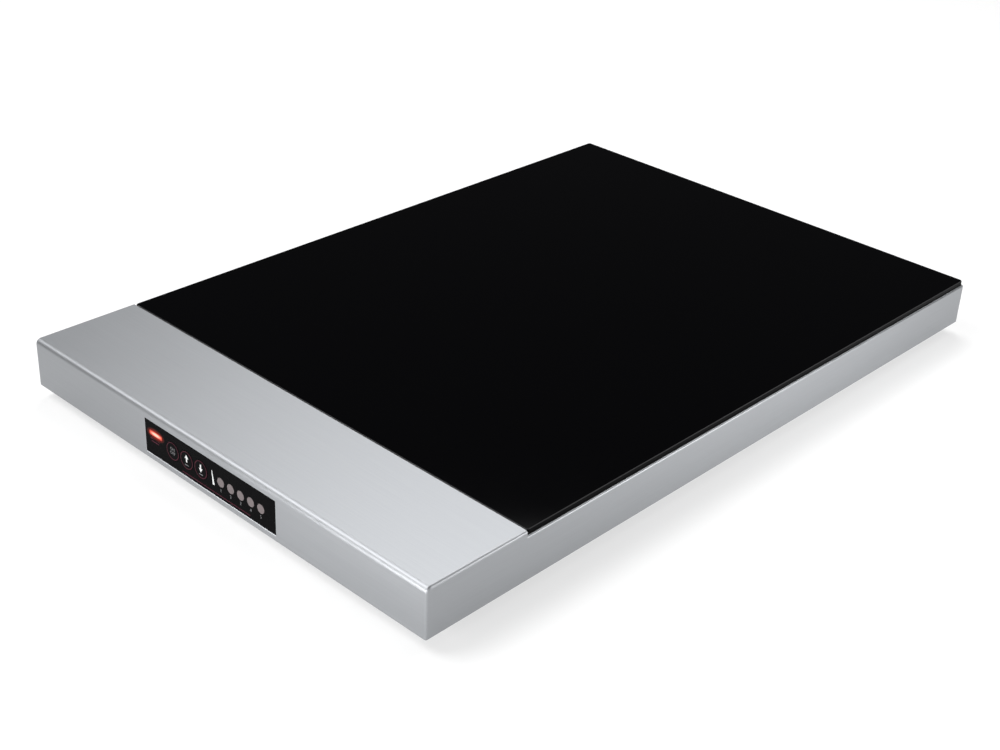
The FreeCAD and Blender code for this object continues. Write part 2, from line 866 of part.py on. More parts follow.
def make_grommets():
    """Rubber rings that grip the bulkhead's edge in a groove."""
    lip, neck = s.grommet_lip, s.grommet_neck
    rim = flats(SMALL_SIDES, (neck + lip) * CORNER, -lip, zero)
    middle = flats(SMALL_SIDES, neck * CORNER, zero, s.bulkhead_sheet)
    back = flats(SMALL_SIDES, (neck + lip) * CORNER, s.bulkhead_sheet, s.bulkhead_sheet + lip)
    bore = flats(SMALL_SIDES, s.grommet_bore * CORNER, -lip, s.bulkhead_sheet + lip)
    ring = rim.fuse([middle, back]).cut(bore)
    places = [(x, bulkhead_face, z) for x, z in grommet_places()]
    keep_shape("grommets", copies(ring, places, REARWARD))


def make_base_plate():
    body = new_body("base_plate")
    side = half_width - s.base_inset
    end = rear - s.base_inset
    outline = sketch_on(body, "base_outline", "XY", base_bottom)
    clipped(outline, -side, side, -end, end, s.base_corner)
    pad(body, outline, s.base_sheet)
    for holes in small_rounds(body, "base_screw_holes", "XY", base_top,
                              base_screw_places() + bulkhead_screw_places(), s.small_hole_radius):
        pocket(body, holes, s.base_sheet)
    feet = corners(half_width - s.foot_inset, rear - s.foot_inset)
    for holes in small_rounds(body, "base_foot_holes", "XY", base_top, feet, s.stud_hole_radius):
        pocket(body, holes, s.base_sheet)
    louvre_bank(body, "hot", -s.louvre_column_pitch - s.louvre_length / 2, aperture_middle,
                s.hot_louvre_rows)
    louvre_bank(body, "front", board_left + s.louvre_bay_inset, board_front, s.front_louvre_rows)


def louvre_bank(body, name, x, y, rows):
    """Hooded slots pressed inwards, as rows and columns of one pressed slot."""
    tall = base_top + s.louvre_rise
    hood = sketch_on(body, name + "_louvre_hood", "YZ", x)
    polygon(hood, [(y, base_top), (y + s.louvre_depth, base_top), (y + s.louvre_depth, tall),
                   (y + s.louvre_depth - s.louvre_crown, tall)])
    raised = pad(body, hood, s.louvre_length)
    slot = sketch_on(body, name + "_louvre_slot", "YZ", x + s.louvre_length - s.louvre_wall)
    back = y + s.louvre_wall + s.louvre_wall
    polygon(slot, [(back, base_bottom), (y + s.louvre_depth, base_bottom),
                   (y + s.louvre_depth, tall - s.louvre_wall),
                   (y + s.louvre_depth - s.louvre_crown, tall - s.louvre_wall)])
    opened = pocket(body, slot, s.louvre_length - 2 * s.louvre_wall)
    spread = body.newObject("PartDesign::LinearPattern", name + "_louvres")
    spread.Originals = [raised, opened]
    spread.Direction = (hood, ["N_Axis"])
    spread.Direction2 = (hood, ["H_Axis"])
    spread.Mode = "Spacing"
    spread.Mode2 = "Spacing"
    bind(spread, "Offset", s.louvre_column_pitch)
    bind(spread, "Offset2", s.louvre_pitch)
    bind(spread, "Occurrences", s.louvre_columns)
    bind(spread, "Occurrences2", rows)
    body.Tip = spread


def flats(count, radius, low, high):
    """An upright bar with flats, whose corners lie on a circle."""
    turns = [math.tau * (side + 0.5) / count for side in range(count + 1)]
    ring = [V(float(radius) * math.cos(turn), float(radius) * math.sin(turn), float(low)) for turn in turns]
    return Part.Face(Part.makePolygon(ring)).extrude(V(0, 0, float(high - low)))


def screw(head_radius, head_height, shank_radius, shank_length):
    """A screw with its head under the origin and its shank up."""
    head = flats(SCREW_SIDES, head_radius, zero - head_height, zero)
    return head.fuse(flats(SMALL_SIDES, shank_radius, zero, shank_length)).removeSplitter()


def hex_nut(across, height, bore):
    """A nut that stands on the origin."""
    outside = flats(SMALL_SIDES, across / 2 * CORNER, zero, height)
    return outside.cut(flats(SMALL_SIDES, bore * CORNER, zero, height))


def make_base_fasteners():
    places = [(x, y, base_bottom) for x, y in base_screw_places() + bulkhead_screw_places()]
    keep_shape("base_screws", copies(
        screw(s.screw_head_radius, s.screw_head_height, s.small_screw_radius, s.base_screw_length), places))
    nuts = [(x, y, shelf_under - s.tray_sheet - s.nut_height) for x, y in tray_stud_places()]
    keep_shape("tray_nuts", copies(hex_nut(s.nut_size, s.nut_height, s.stud_hole_radius), nuts))


def draft_walls(body, block_pad, sole):
    """Leans a foot's flats outwards, from its sole up to the plate."""
    doc.recompute()
    walls = ["Face%d" % (i + 1) for i, face in enumerate(block_pad.Shape.Faces)
             if abs(face.normalAt(0, 0).z) < NEAR]
    lean = body.newObject("PartDesign::Draft", sole.Name + "_draft")
    lean.Base = (block_pad, walls)
    lean.NeutralPlane = sole.AttachmentSupport[0]
    lean.Reversed = True
    lean.setExpression("Angle", "atan(%s)" % formula((s.foot_top_radius - s.foot_bottom_radius) / s.foot_height))


def make_feet():
    side = half_width - s.foot_inset
    end = rear - s.foot_inset
    names = {(-1, -1): "foot_front_left", (1, -1): "foot_front_right",
             (-1, 1): "foot_rear_left", (1, 1): "foot_rear_right"}
    for (sx, sy), label in names.items():
        body = new_body(label)
        sole = sketch_on(body, label + "_sole", "XY", zero)
        flatted(sole, zero, zero, s.foot_bottom_radius, FOOT_SIDES)
        draft_walls(body, pad(body, sole, s.foot_height), sole)
        recess = sketch_on(body, label + "_recess", "XY", s.foot_recess_depth)
        flatted(recess, zero, zero, s.foot_recess_radius, SCREW_SIDES)
        pocket(body, recess, s.foot_recess_depth)
        bore = sketch_on(body, label + "_bore", "XY", s.foot_height)
        flatted(bore, zero, zero, s.stud_hole_radius, SMALL_SIDES)
        pocket(body, bore, s.foot_height)
        place_at(body, sx * side, sy * end, zero)
    places = [(x, y, s.foot_recess_depth) for x, y in corners(side, end)]
    reach = base_top + s.nut_height + s.screw_end - s.foot_recess_depth
    keep_shape("foot_screws", copies(
        screw(s.foot_screw_head, s.foot_screw_head_height, s.stud_radius, reach), places))
    keep_shape("foot_nuts", copies(hex_nut(s.nut_size, s.nut_height, s.stud_hole_radius),
                                   [(x, y, base_top) for x, y in corners(side, end)]))


# Control window, keys and indicators

def key_places():
    return [-s.key_first + step * s.key_pitch for step in range(3)]


def lens_places():
    return [s.lens_first + step * s.lens_pitch for step in range(5)]


def window_outline(drawing):
    gap = s.window_gap
    rounded(drawing, window_left + gap, window_right - gap, window_bottom + gap, window_top - gap,
            s.window_corner)


def bore_places():
    """Each key's and lens's bore in the window, with its own radius."""
    keys = [(x, key_line, s.key_radius + s.key_gap) for x in key_places()]
    return keys + [(x, lens_line, s.lens_radius + s.lens_gap) for x in lens_places()]


def lamp_outline(drawing, grow):
    reach = s.lamp_width / 2 + grow
    rise = s.lamp_height / 2 + grow
    clipped(drawing, -s.lamp_centre - reach, -s.lamp_centre + reach, lamp_line - rise, lamp_line + rise,
            s.lamp_corner)


def display_screw_places():
    inset = s.display_screw_inset
    return [(x, z) for x in (window_left + inset, window_right - inset)
            for z in (window_bottom + inset, window_top - inset)]


def make_panel_film():
    body = new_body("panel_film")
    film = sketch_on(body, "film_outline", "XZ", film_face)
    window_outline(film)
    lamp_outline(film, s.lens_gap)
    pad(body, film, s.film_thickness, back=True)
    for number, (x, z, radius) in enumerate(bore_places(), 1):
        bore = sketch_on(body, "film_bore_%d" % number, "XZ", film_face)
        flatted(bore, x, z, radius, ROUND_SIDES)
        pocket(body, bore, s.film_thickness)


def make_panel_carrier():
    body = new_body("panel_carrier")
    plateau = sketch_on(body, "carrier_plateau", "XZ", film_back)
    window_outline(plateau)
    pad(body, plateau, s.carrier_skin, back=True)
    rim = sketch_on(body, "carrier_rim", "XZ", inner_front)
    rounded(rim, window_left - s.carrier_side_flange, window_right + s.carrier_side_flange,
            window_bottom - s.carrier_edge_flange, window_top + s.carrier_edge_flange, s.window_corner)
    pad(body, rim, carrier_back - inner_front, back=True)
    for bosses in small_rounds(body, "carrier_bosses", "XZ", carrier_back, display_screw_places(),
                               s.boss_radius):
        pad(body, bosses, display_face - carrier_back, back=True)
    slot = sketch_on(body, "carrier_lamp_slot", "XZ", film_back)
    lamp_outline(slot, s.lens_gap)
    pocket(body, slot, s.carrier_skin)
    for number, (x, z, radius) in enumerate(bore_places(), 1):
        bore = sketch_on(body, "carrier_bore_%d" % number, "XZ", film_back)
        flatted(bore, x, z, radius, SCREW_SIDES)
        pocket(body, bore, s.carrier_skin)
    for holes in small_rounds(body, "carrier_stud_holes", "XZ", inner_front, panel_stud_places(),
                              s.panel_stud_radius + s.lens_gap):
        pocket(body, holes, carrier_back - inner_front)
    for holes in small_rounds(body, "carrier_pilot_holes", "XZ", display_face - s.board_screw_length,
                              display_screw_places(), s.pilot_radius):
        pocket(body, holes, s.board_screw_length)
    places = [(x, carrier_back, z) for x, z in panel_stud_places()]
    nut = hex_nut(s.panel_nut_size, s.panel_nut_height, s.panel_stud_radius + s.lens_gap)
    keep_shape("carrier_nuts", copies(nut, places, REARWARD))


def make_keys():
    """Round caps on stems; behind each, the plunger of its switch."""
    face = s.film_recess - s.key_raise
    stop = carrier_back - front + s.key_stop_gap
    flange = stop + s.key_stop_thickness
    rim = s.key_radius + s.key_stop_width
    tip = switch_face - front - s.plunger_reach
    for x, purpose in zip(key_places(), ("power", "up", "down")):
        cap = new_body(purpose + "_key")
        top = sketch_on(cap, purpose + "_cap", "XY", face)
        flatted(top, zero, zero, s.key_radius, ROUND_SIDES)
        pad(cap, top, stop - face)
        collar = sketch_on(cap, purpose + "_collar", "XY", stop)
        flatted(collar, zero, zero, rim, SCREW_SIDES)
        pad(cap, collar, s.key_stop_thickness)
        stem = sketch_on(cap, purpose + "_stem", "XY", flange)
        flatted(stem, zero, zero, s.key_stem_radius, SMALL_SIDES)
        pad(cap, stem, tip - flange)
        plunger = new_body(purpose + "_plunger")
        button = sketch_on(plunger, purpose + "_plunger_outline", "XY", tip)
        flatted(button, zero, zero, s.plunger_radius, SCREW_SIDES)
        pad(plunger, button, s.plunger_length)
        for made in (cap, plunger):
            made.Placement = FreeCAD.Placement(V(0, 0, 0), REARWARD)
            place_at(made, x, front, key_line)


def make_lenses():
    seat = carrier_back - front
    rim = s.lens_radius + s.lens_rim
    for number, x in enumerate(lens_places(), 1):
        lens = new_body("indicator_lens_%d" % number)
        window = sketch_on(lens, "lens_%d_window" % number, "XY", s.film_recess)
        flatted(window, zero, zero, s.lens_radius, ROUND_SIDES)
        pad(lens, window, seat - s.film_recess)
        base = sketch_on(lens, "lens_%d_rim" % number, "XY", seat)
        flatted(base, zero, zero, rim, SCREW_SIDES)
        pad(lens, base, s.lens_rim)
        lens.Placement = FreeCAD.Placement(V(0, 0, 0), REARWARD)
        place_at(lens, x, front, lens_line)
    lamp = new_body("lamp_lens")
    bar = sketch_on(lamp, "lamp_bar", "XZ", film_face)
    lamp_outline(bar, zero)
    pad(lamp, bar, carrier_back - film_face, back=True)
    rim_outline = sketch_on(lamp, "lamp_rim", "XZ", carrier_back)
    lamp_outline(rim_outline, s.lens_rim)
    pad(lamp, rim_outline, s.lens_rim, back=True)


def make_display_board():
    gap = s.display_edge_gap
    board = block("display_sheet", window_left + gap, window_right - gap, display_face, display_back,
                  window_bottom + gap, window_top - gap)
    holes = [lying_bar("display_hole_%d" % number, x, display_face, z, s.small_hole_radius, s.board_thickness)
             for number, (x, z) in enumerate(display_screw_places(), 1)]
    keep("display_board", cut("display_board", board, holes))
    switches = [tact_switch("switch_%d" % number, x) for number, x in enumerate(key_places(), 1)]
    keep("tact_switches", group("tact_switches", switches))
    lamp_leds = [-s.lamp_centre + side * s.lamp_width / 4 for side in (-1, 1)]
    spots = [(x, lens_line) for x in lens_places()] + [(x, lamp_line) for x in lamp_leds]
    reach = s.display_setback - s.led_front
    leds = [lying_bar("led_%d" % number, x, front + s.led_front, z, s.led_radius, reach)
            for number, (x, z) in enumerate(spots, 1)]
    keep("indicator_leds", group("indicator_leds", leds))


def tact_switch(name, x):
    half = s.switch_size / 2
    housing = block(name + "_housing", x - half, x + half, switch_face, display_face,
                    key_line - half, key_line + half)
    well = lying_bar(name + "_well", x, switch_face, key_line, s.plunger_radius + s.key_gap,
                     s.switch_depth - s.switch_floor)
    return cut(name, housing, [well])


# Power electronics in the front bay

def board_spacer_places():
    inset = s.spacer_inset
    return [(x, y) for x in (board_left + inset, board_right - inset)
            for y in (board_front + inset, board_rear - inset)]


def make_power_board():
    sheet_board = block("power_sheet", board_left, board_right, board_front, board_rear,
                        board_bottom, board_top)
    holes = [bar("power_hole_%d" % number, x, y, board_bottom, s.small_hole_radius, s.board_thickness)
             for number, (x, y) in enumerate(board_spacer_places(), 1)]
    keep("power_board", cut("power_board", sheet_board, holes))
    spacer = flats(SMALL_SIDES, s.spacer_radius * CORNER, zero, s.spacer_height)
    thread_floor = s.spacer_height - s.board_screw_length
    spacer = spacer.cut(flats(SMALL_SIDES, s.pilot_radius * CORNER, thread_floor, s.spacer_height))
    keep_shape("board_spacers", copies(spacer, [(x, y, base_top) for x, y in board_spacer_places()]))
    bolt = screw(s.screw_head_radius, s.screw_head_height, s.small_screw_radius,
                 s.board_screw_length - s.screw_end + s.board_thickness)
    upright = copies(bolt, [(x, y, board_top) for x, y in board_spacer_places()], UPSIDE_DOWN)
    lying = copies(bolt, [(x, display_back, z) for x, z in display_screw_places()], FORWARD)
    keep_shape("board_screws", Part.makeCompound(upright.Solids + lying.Solids))


def on_board(name, x, y, width, depth, height, lift=0):
    """A block on the power board, centred at a distance from its left front corner."""
    return block(name, board_left + x - width / 2, board_left + x + width / 2,
                 board_front + y - depth / 2, board_front + y + depth / 2,
                 board_top + lift, board_top + lift + height)


def make_power_parts():
    middle = s.power_board_depth / 2
    core = on_board("transformer_core", s.transformer_place, middle, s.transformer_width,
                    s.transformer_depth, s.transformer_height)
    coil = on_board("transformer_coil", s.transformer_place, middle, s.transformer_width - s.core_limb,
                    s.transformer_depth + s.core_limb, s.transformer_height - s.core_limb, s.core_limb / 2)
    keep("transformer", fused("transformer", [core, coil]))
    keep("relay", on_board("relay", s.relay_place, s.relay_row, s.relay_width, s.relay_depth, s.relay_height))
    cans = [bar("capacitor_%d" % number, board_left + s.capacitor_place,
                board_front + number * s.capacitor_pitch, board_top, s.capacitor_radius, s.capacitor_height)
            for number in (1, 2)]
    keep("capacitors", group("capacitors", cans))
    keep("fuse_holder", make_fuse(middle))
    keep("heater_terminal", on_board("heater_terminal", lead_x - board_left,
                                     s.power_board_depth - s.terminal_depth / 2, s.terminal_width,
                                     s.terminal_depth, s.terminal_height))
    row = mains_terminal_rear - s.mains_terminal_depth / 2 - board_front
    keep("supply_terminal", on_board("supply_terminal", s.terminal_depth / 2, row, s.terminal_depth,
                                     s.supply_terminal_width, s.terminal_height))


def make_fuse(middle):
    reach = s.fuse_length / 2
    ends = [on_board("fuse_clip_%d" % number, s.fuse_place + side * reach, middle, s.fuse_clip,
                     s.fuse_clip_height, s.fuse_clip_height) for number, side in ((1, -1), (2, 1))]
    tube = doc.addObject("Part::Cylinder", "fuse_tube")
    bind(tube, "Radius", s.fuse_radius)
    bind(tube, "Height", s.fuse_length)
    tube.Placement.Rotation = FreeCAD.Rotation(V(0, 1, 0), 90)
    place_at(tube, board_left + s.fuse_place - reach, board_front + middle, board_top + s.fuse_clip_height / 2)
    return fused("fuse_holder", ends + [tube])


def make_ribbon():
    body = new_body("ribbon_cable")
    half = s.ribbon_thickness / 2
    low = board_top + s.header_depth
    strip = sketch_on(body, "ribbon_strip", "YZ", ribbon_x)
    polygon(strip, [(ribbon_start, ribbon_line - half), (ribbon_drop - half, ribbon_line - half),
                    (ribbon_drop - half, low), (ribbon_drop + half, low),
                    (ribbon_drop + half, ribbon_line + half), (ribbon_start, ribbon_line + half)])
    pad(body, strip, s.ribbon_width, middle=True)
    fillet(body, "ribbon_outer_bend", s.ribbon_bend + s.ribbon_thickness,
           [{"y": ribbon_drop + half, "z": ribbon_line + half}])
    fillet(body, "ribbon_inner_bend", s.ribbon_bend, [{"y": ribbon_drop - half, "z": ribbon_line - half}])
    reach = s.ribbon_width / 2 + s.header_wall
    thick = s.header_thickness / 2
    upper = block("display_header", ribbon_x - reach, ribbon_x + reach, display_back, ribbon_start,
                  ribbon_line - thick, ribbon_line + thick)
    lower = block("power_header", ribbon_x - reach, ribbon_x + reach, ribbon_drop - thick,
                  ribbon_drop + thick, board_top, low)
    keep("ribbon_headers", group("ribbon_headers", [upper, lower]))


def make_cutout():
    """A disc thermostat welded by its strap under the tray's floor."""
    x, y = s.cutout_side, aperture_middle
    can = bar("cutout_can", x, y, tray_bottom - s.cutout_height, s.cutout_radius, s.cutout_height)
    strap = block("cutout_strap", x - 2 * s.cutout_radius, x + 2 * s.cutout_radius, y - s.cutout_radius / 2,
                  y + s.cutout_radius / 2, tray_bottom - s.tray_sheet, tray_bottom)
    keep("thermal_cutout", fused("thermal_cutout", [can, strap]))


# Mains inlet and leads

def make_inlet():
    body = new_body("inlet_body")
    flange = sketch_on(body, "inlet_flange", "XZ", rear)
    reach, rise = s.inlet_flange_width / 2, s.inlet_flange_height / 2
    rounded(flange, inlet_x - reach, inlet_x + reach, inlet_z - rise, inlet_z + rise, s.inlet_corner)
    pad(body, flange, s.inlet_flange_thickness, back=True)
    shell = sketch_on(body, "inlet_shell", "XZ", inlet_back)
    reach, rise = s.inlet_width / 2, s.inlet_height / 2
    rounded(shell, inlet_x - reach, inlet_x + reach, inlet_z - rise, inlet_z + rise, s.window_corner)
    pad(body, shell, s.inlet_body_depth, back=True)
    cavity = sketch_on(body, "inlet_cavity", "XZ", cavity_floor)
    reach, rise, trim = s.inlet_cavity_width / 2, s.inlet_cavity_height / 2, s.inlet_key
    left, right, low, high = inlet_x - reach, inlet_x + reach, inlet_z - rise, inlet_z + rise
    polygon(cavity, [(left, low), (right, low), (right, high - trim), (right - trim, high),
                     (left + trim, high), (left, high - trim)])
    pocket(body, cavity, s.inlet_cavity_depth + CUT)
    holes = sketch_on(body, "inlet_screw_holes", "XZ", rear)
    for side in (-1, 1):
        flatted(holes, inlet_x + side * s.inlet_screw_pitch / 2, inlet_z, s.small_hole_radius, SMALL_SIDES)
    pocket(body, holes, s.inlet_flange_thickness)
    bolt = screw(s.screw_head_radius, s.screw_head_height, s.small_screw_radius, s.inlet_screw_length)
    places = [(inlet_x + side * s.inlet_screw_pitch / 2, inlet_face, inlet_z) for side in (-1, 1)]
    keep_shape("inlet_screws", copies(bolt, places, FORWARD))


def make_pins():
    spots = [(-s.pin_spacing, -s.pin_offset), (s.pin_spacing, -s.pin_offset), (zero, s.pin_offset)]
    blades = []
    for number, (x, z) in enumerate(spots, 1):
        half, tall = s.pin_width / 2, s.pin_height / 2
        sides = (inlet_x + x - half, inlet_x + x + half)
        heights = (inlet_z + z - tall, inlet_z + z + tall)
        blades.append(block("pin_%d" % number, *sides, cavity_floor, cavity_floor + s.pin_length, *heights))
        blades.append(block("tab_%d" % number, *sides, inlet_back - s.tab_length, inlet_back, *heights))
    keep("inlet_pins", group("inlet_pins", blades))


def make_boot():
    reach, rise, wall = s.inlet_width / 2 - s.boot_wall, s.inlet_height / 2 - s.boot_wall, s.boot_wall
    shell = block("boot_shell", inlet_x - reach, inlet_x + reach, boot_back, inlet_back,
                  inlet_z - rise, inlet_z + rise)
    room = block("boot_room", inlet_x - reach + wall, inlet_x + reach - wall, boot_back + wall, inlet_back,
                 inlet_z - rise + wall, inlet_z + rise - wall)
    throat = lying_bar("boot_throat", inlet_x, boot_back, inlet_z, s.mains_lead_radius, wall)
    keep("inlet_boot", cut("inlet_boot", shell, [room, throat]))


def flat_ring(radius, centre, along):
    """The outline of a lead, drawn with flats, square to its run."""
    turn = FreeCAD.Rotation(V(0, 0, 1), along)
    steps = [math.tau * side / SMALL_SIDES for side in range(SMALL_SIDES + 1)]
    ring = [V(radius * math.cos(step), radius * math.sin(step), 0) for step in steps]
    return Part.makePolygon([centre + turn.multVec(corner) for corner in ring])


def lead(points, radius, bends):
    """A lead of straight runs; each bend is drawn with short chords of its tangent arc."""
    stops = [points[0]]
    for i, bend in enumerate(bends, 1):
        corner = points[i]
        before = (points[i - 1] - corner).normalize()
        after = (points[i + 1] - corner).normalize()
        half = before.getAngle(after) / 2
        trim = bend / math.tan(half)
        enter, leave = corner + before * trim, corner + after * trim
        inward = (before + after).normalize()
        centre = corner + inward * (bend / math.sin(half))
        chords = math.ceil((math.pi - 2 * half) / BEND_STEP)
        stops += Part.Arc(enter, centre - inward * bend, leave).toShape().discretize(Number=chords + 1)
    path = Part.makePolygon(stops + [points[-1]])
    section = flat_ring(radius, points[0], points[1] - points[0])
    tube = path.makePipeShell([section], True, False, MITRED)
    share = tube.Volume / (Part.Face(section).Area * path.Length)
    print("lead length %.1f, volume against section times length %.4f" % (path.Length, share))
    return tube


def make_mains_lead():
    radius = float(s.mains_lead_radius)
    points = [point(inlet_x, boot_back + s.boot_wall, inlet_z),
              point(inlet_x, boot_back - s.lead_run, inlet_z),
              point(inlet_x, boot_back - 2 * s.lead_run, mains_line),
              point(inlet_x, bulkhead_face + 2 * s.lead_run, mains_line),
              point(inlet_x, bulkhead_face + s.lead_run, grommet_line),
              point(inlet_x, mains_terminal_rear, grommet_line)]
    keep_shape("mains_lead", lead(points, radius, [float(s.mains_bend)] * 4))
    half = s.mains_terminal_width / 2
    keep("mains_terminal", block("mains_terminal", inlet_x - half, inlet_x + half,
                                 mains_terminal_rear - s.mains_terminal_depth, mains_terminal_rear,
                                 base_top, grommet_line + s.mains_lead_radius + s.terminal_cover))


def make_clips():
    clips = []
    first, last = bulkhead_face + 3 * s.lead_run, boot_back - 3 * s.lead_run
    reach = s.mains_lead_radius + s.clip_strap
    for number in range(4):
        y = first + (last - first) / 3 * number - s.clip_width / 2
        name = "clip_%d" % (number + 1)
        saddle = block(name + "_saddle", inlet_x - reach, inlet_x + reach, y, y + s.clip_width,
                       base_top, mains_line + reach)
        tabs = block(name + "_tabs", inlet_x - reach - s.clip_tab, inlet_x + reach + s.clip_tab,
                     y, y + s.clip_width, base_top, base_top + s.clip_strap)
        bore = lying_bar(name + "_bore", inlet_x, y, mains_line, s.mains_lead_radius, s.clip_width)
        clips.append(cut(name, fused(name + "_body", [saddle, tabs]), [bore]))
    keep("cable_clips", group("cable_clips", clips))


def make_inner_leads():
    leads = []
    for side in (-1, 1):
        x = lead_x + side * s.lead_spacing / 2
        points = [point(x, lead_row, mat_bottom), point(x, lead_row, terminal_line),
                  point(x, board_rear, terminal_line)]
        leads.append(lead(points, float(s.heater_lead_radius), [float(s.wire_bend)]))
    keep_shape("heater_leads", Part.makeCompound(leads))
    supply = []
    for side in (-1, 1):
        y = mains_terminal_rear - s.mains_terminal_depth / 2 + side * s.lead_spacing / 2
        start = inlet_x + s.mains_terminal_width / 2
        supply.append([point(start, y, grommet_line), point(board_left, y, grommet_line)])
    wires = [Part.Face(flat_ring(float(s.heater_lead_radius), a, b - a)).extrude(b - a) for a, b in supply]
    keep_shape("supply_leads", Part.makeCompound(wires))


def make_probe_lead():
    start = spreader_bottom - s.probe_height
    low = terminal_line
    points = [point(zero, aperture_middle, start), point(zero, aperture_middle, low),
              point(lead_x, aperture_middle - s.lead_run * 2, low), point(lead_x, board_rear, low)]
    keep_shape("probe_lead", lead(points, float(s.probe_lead_radius), [float(s.wire_bend)] * 2))


def make_all():
    make_casing()
    make_glass()
    make_seal()
    make_stack()
    make_track()
    make_probe()
    make_tray()
    make_bulkhead()
    make_grommets()
    make_base_plate()
    make_base_fasteners()
    make_feet()
    make_panel_film()
    make_panel_carrier()
    make_keys()
    make_lenses()
    make_display_board()
    make_power_board()
    make_power_parts()
    make_ribbon()
    make_cutout()
    make_inlet()
    make_pins()
    make_boot()
    make_mains_lead()
    make_clips()
    make_inner_leads()
    make_probe_lead()


def check_document():
    """Stops before anything is written if a feature failed or cut nothing."""
    doc.recompute()
    for item in doc.Objects:
        if "Invalid" in item.State or "Error" in item.State:
            raise RuntimeError("%s did not build: %s" % (item.Name, item.State))
        if item.TypeId == "PartDesign::Pocket" and item.Shape.Volume >= item.BaseFeature.Shape.Volume:
            raise RuntimeError("%s cut nothing" % item.Name)
        if item.TypeId == "PartDesign::Pad" and item.BaseFeature:
            if item.Shape.Volume <= item.BaseFeature.Shape.Volume:
                raise RuntimeError("%s added nothing" % item.Name)
    for label, made in NODES.items():
        if made.Shape.isNull() or not made.Shape.isValid():
            raise RuntimeError("%s has no sound shape" % label)


def write_parts():
    os.makedirs("parts", exist_ok=True)
    for label, made in NODES.items():
        made.Shape.exportStep(os.path.join("parts", label + ".step"))
        print("%-18s %3d solids, %10.1f cubic mm" % (label, len(made.Shape.Solids), made.Shape.Volume))


make_all()
check_document()
write_parts()
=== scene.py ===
# %% [markdown]
# # An electric food warmer tray
#
# The real object is a folded tray of satin stainless steel with a black glass plate on top and a small
# black control window in its front wall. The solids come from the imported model, in metres, and stay
# where they are. This file gives each of them its finish, models the pieces whose looks need more than
# a plain solid, and sets up the studio.

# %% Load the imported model
import math

import bmesh
import bpy
from mathutils import Matrix, Vector


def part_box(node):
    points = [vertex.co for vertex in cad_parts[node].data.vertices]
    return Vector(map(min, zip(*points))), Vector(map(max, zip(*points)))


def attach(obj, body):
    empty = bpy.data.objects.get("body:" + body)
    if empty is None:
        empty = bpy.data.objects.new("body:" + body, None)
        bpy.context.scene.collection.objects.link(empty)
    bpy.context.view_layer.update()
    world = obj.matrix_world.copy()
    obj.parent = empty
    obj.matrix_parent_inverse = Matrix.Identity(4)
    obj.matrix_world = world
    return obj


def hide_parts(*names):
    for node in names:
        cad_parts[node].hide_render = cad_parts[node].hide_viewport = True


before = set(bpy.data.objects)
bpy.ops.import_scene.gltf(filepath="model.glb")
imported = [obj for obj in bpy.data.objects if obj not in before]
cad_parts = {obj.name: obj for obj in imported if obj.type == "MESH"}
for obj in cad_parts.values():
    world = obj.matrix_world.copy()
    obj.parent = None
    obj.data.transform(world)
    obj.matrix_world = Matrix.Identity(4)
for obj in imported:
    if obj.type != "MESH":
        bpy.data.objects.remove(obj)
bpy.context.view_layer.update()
MM = 0.001
MERGE = 0.01 * MM

# %% [markdown]
# ## Camera
#
# The camera stands where the photograph was taken from: to the right of the front wall and about thirty
# degrees above the table. It could be aimed with a constraint, but three plain direction vectors hold
# its slight roll as well, so its matrix is written from them.

# %% Camera
FORWARD = Vector((-0.58871, 0.64489, -0.48738)).normalized()
RIGHT = Vector((0.7216, 0.6910, 0.0427)).normalized()
UP = RIGHT.cross(FORWARD)
EYE = Vector((0.888, -1.009, 0.7338))
LENS = 57.25
SENSOR = 36

bpy.ops.object.select_all(action="DESELECT")
bpy.ops.object.camera_add()
camera = bpy.context.object
camera.name = "camera"
camera.data.lens = LENS
camera.data.sensor_width = SENSOR
camera.data.clip_start = 50 * MM
camera.matrix_world = Matrix((RIGHT, UP, -FORWARD)).transposed().to_4x4()
camera.location = EYE
bpy.context.scene.camera = camera
print("camera is", round(EYE.length, 3), "m from the middle of the tray")

# %% [markdown]
# ## Colours and nodes
#
# A colour is read off a chart as a hex number in sRGB, but the shaders count in linear light, so one
# function turns it over. One more adds any node together with its settings and its links, which keeps
# each material down to a few lines.

# %% Colour and node helpers
def linear(hex_colour):
    """The linear colour of an sRGB hex number."""
    parts = [int(hex_colour[start:start + 2], 16) / 255 for start in (0, 2, 4)]
    return [part / 12.92 if part <= 0.04045 else ((part + 0.055) / 1.055) ** 2.4
            for part in parts] + [1]


def add(tree, kind, settings=None, links=None):
    """Adds a node, sets its options or its sockets, and joins its sockets to what feeds them."""
    made = tree.nodes.new("ShaderNode" + kind)
    for name, value in (settings or {}).items():
        if name == "stops":
            for element, (place, colour) in zip(made.color_ramp.elements, value):
                element.position, element.color = place, linear(colour)
        elif isinstance(name, int) or name in made.inputs:
            made.inputs[name].default_value = value
        else:
            setattr(made, name, value)
    for name, source in (links or {}).items():
        tree.links.new(source, made.inputs[name])
    return made


def finish_of(name, settings):
    """A new material with its shader; returns the material, its node tree and the shader."""
    material = bpy.data.materials.new(name)
    material.use_nodes = True
    tree = material.node_tree
    tree.nodes.clear()
    shader = add(tree, "BsdfPrincipled", settings)
    add(tree, "OutputMaterial", links={"Surface": shader.outputs[0]})
    return material, tree, shader


def place_in(tree, scale=(1, 1, 1)):
    """The point of the object being shaded, in metres, stretched by a scale."""
    where = add(tree, "TexCoord")
    return add(tree, "Mapping", {"Scale": scale}, {"Vector": where.outputs["Object"]}).outputs[0]


print("mid grey 808080 in linear light:", round(linear("808080")[0], 3))

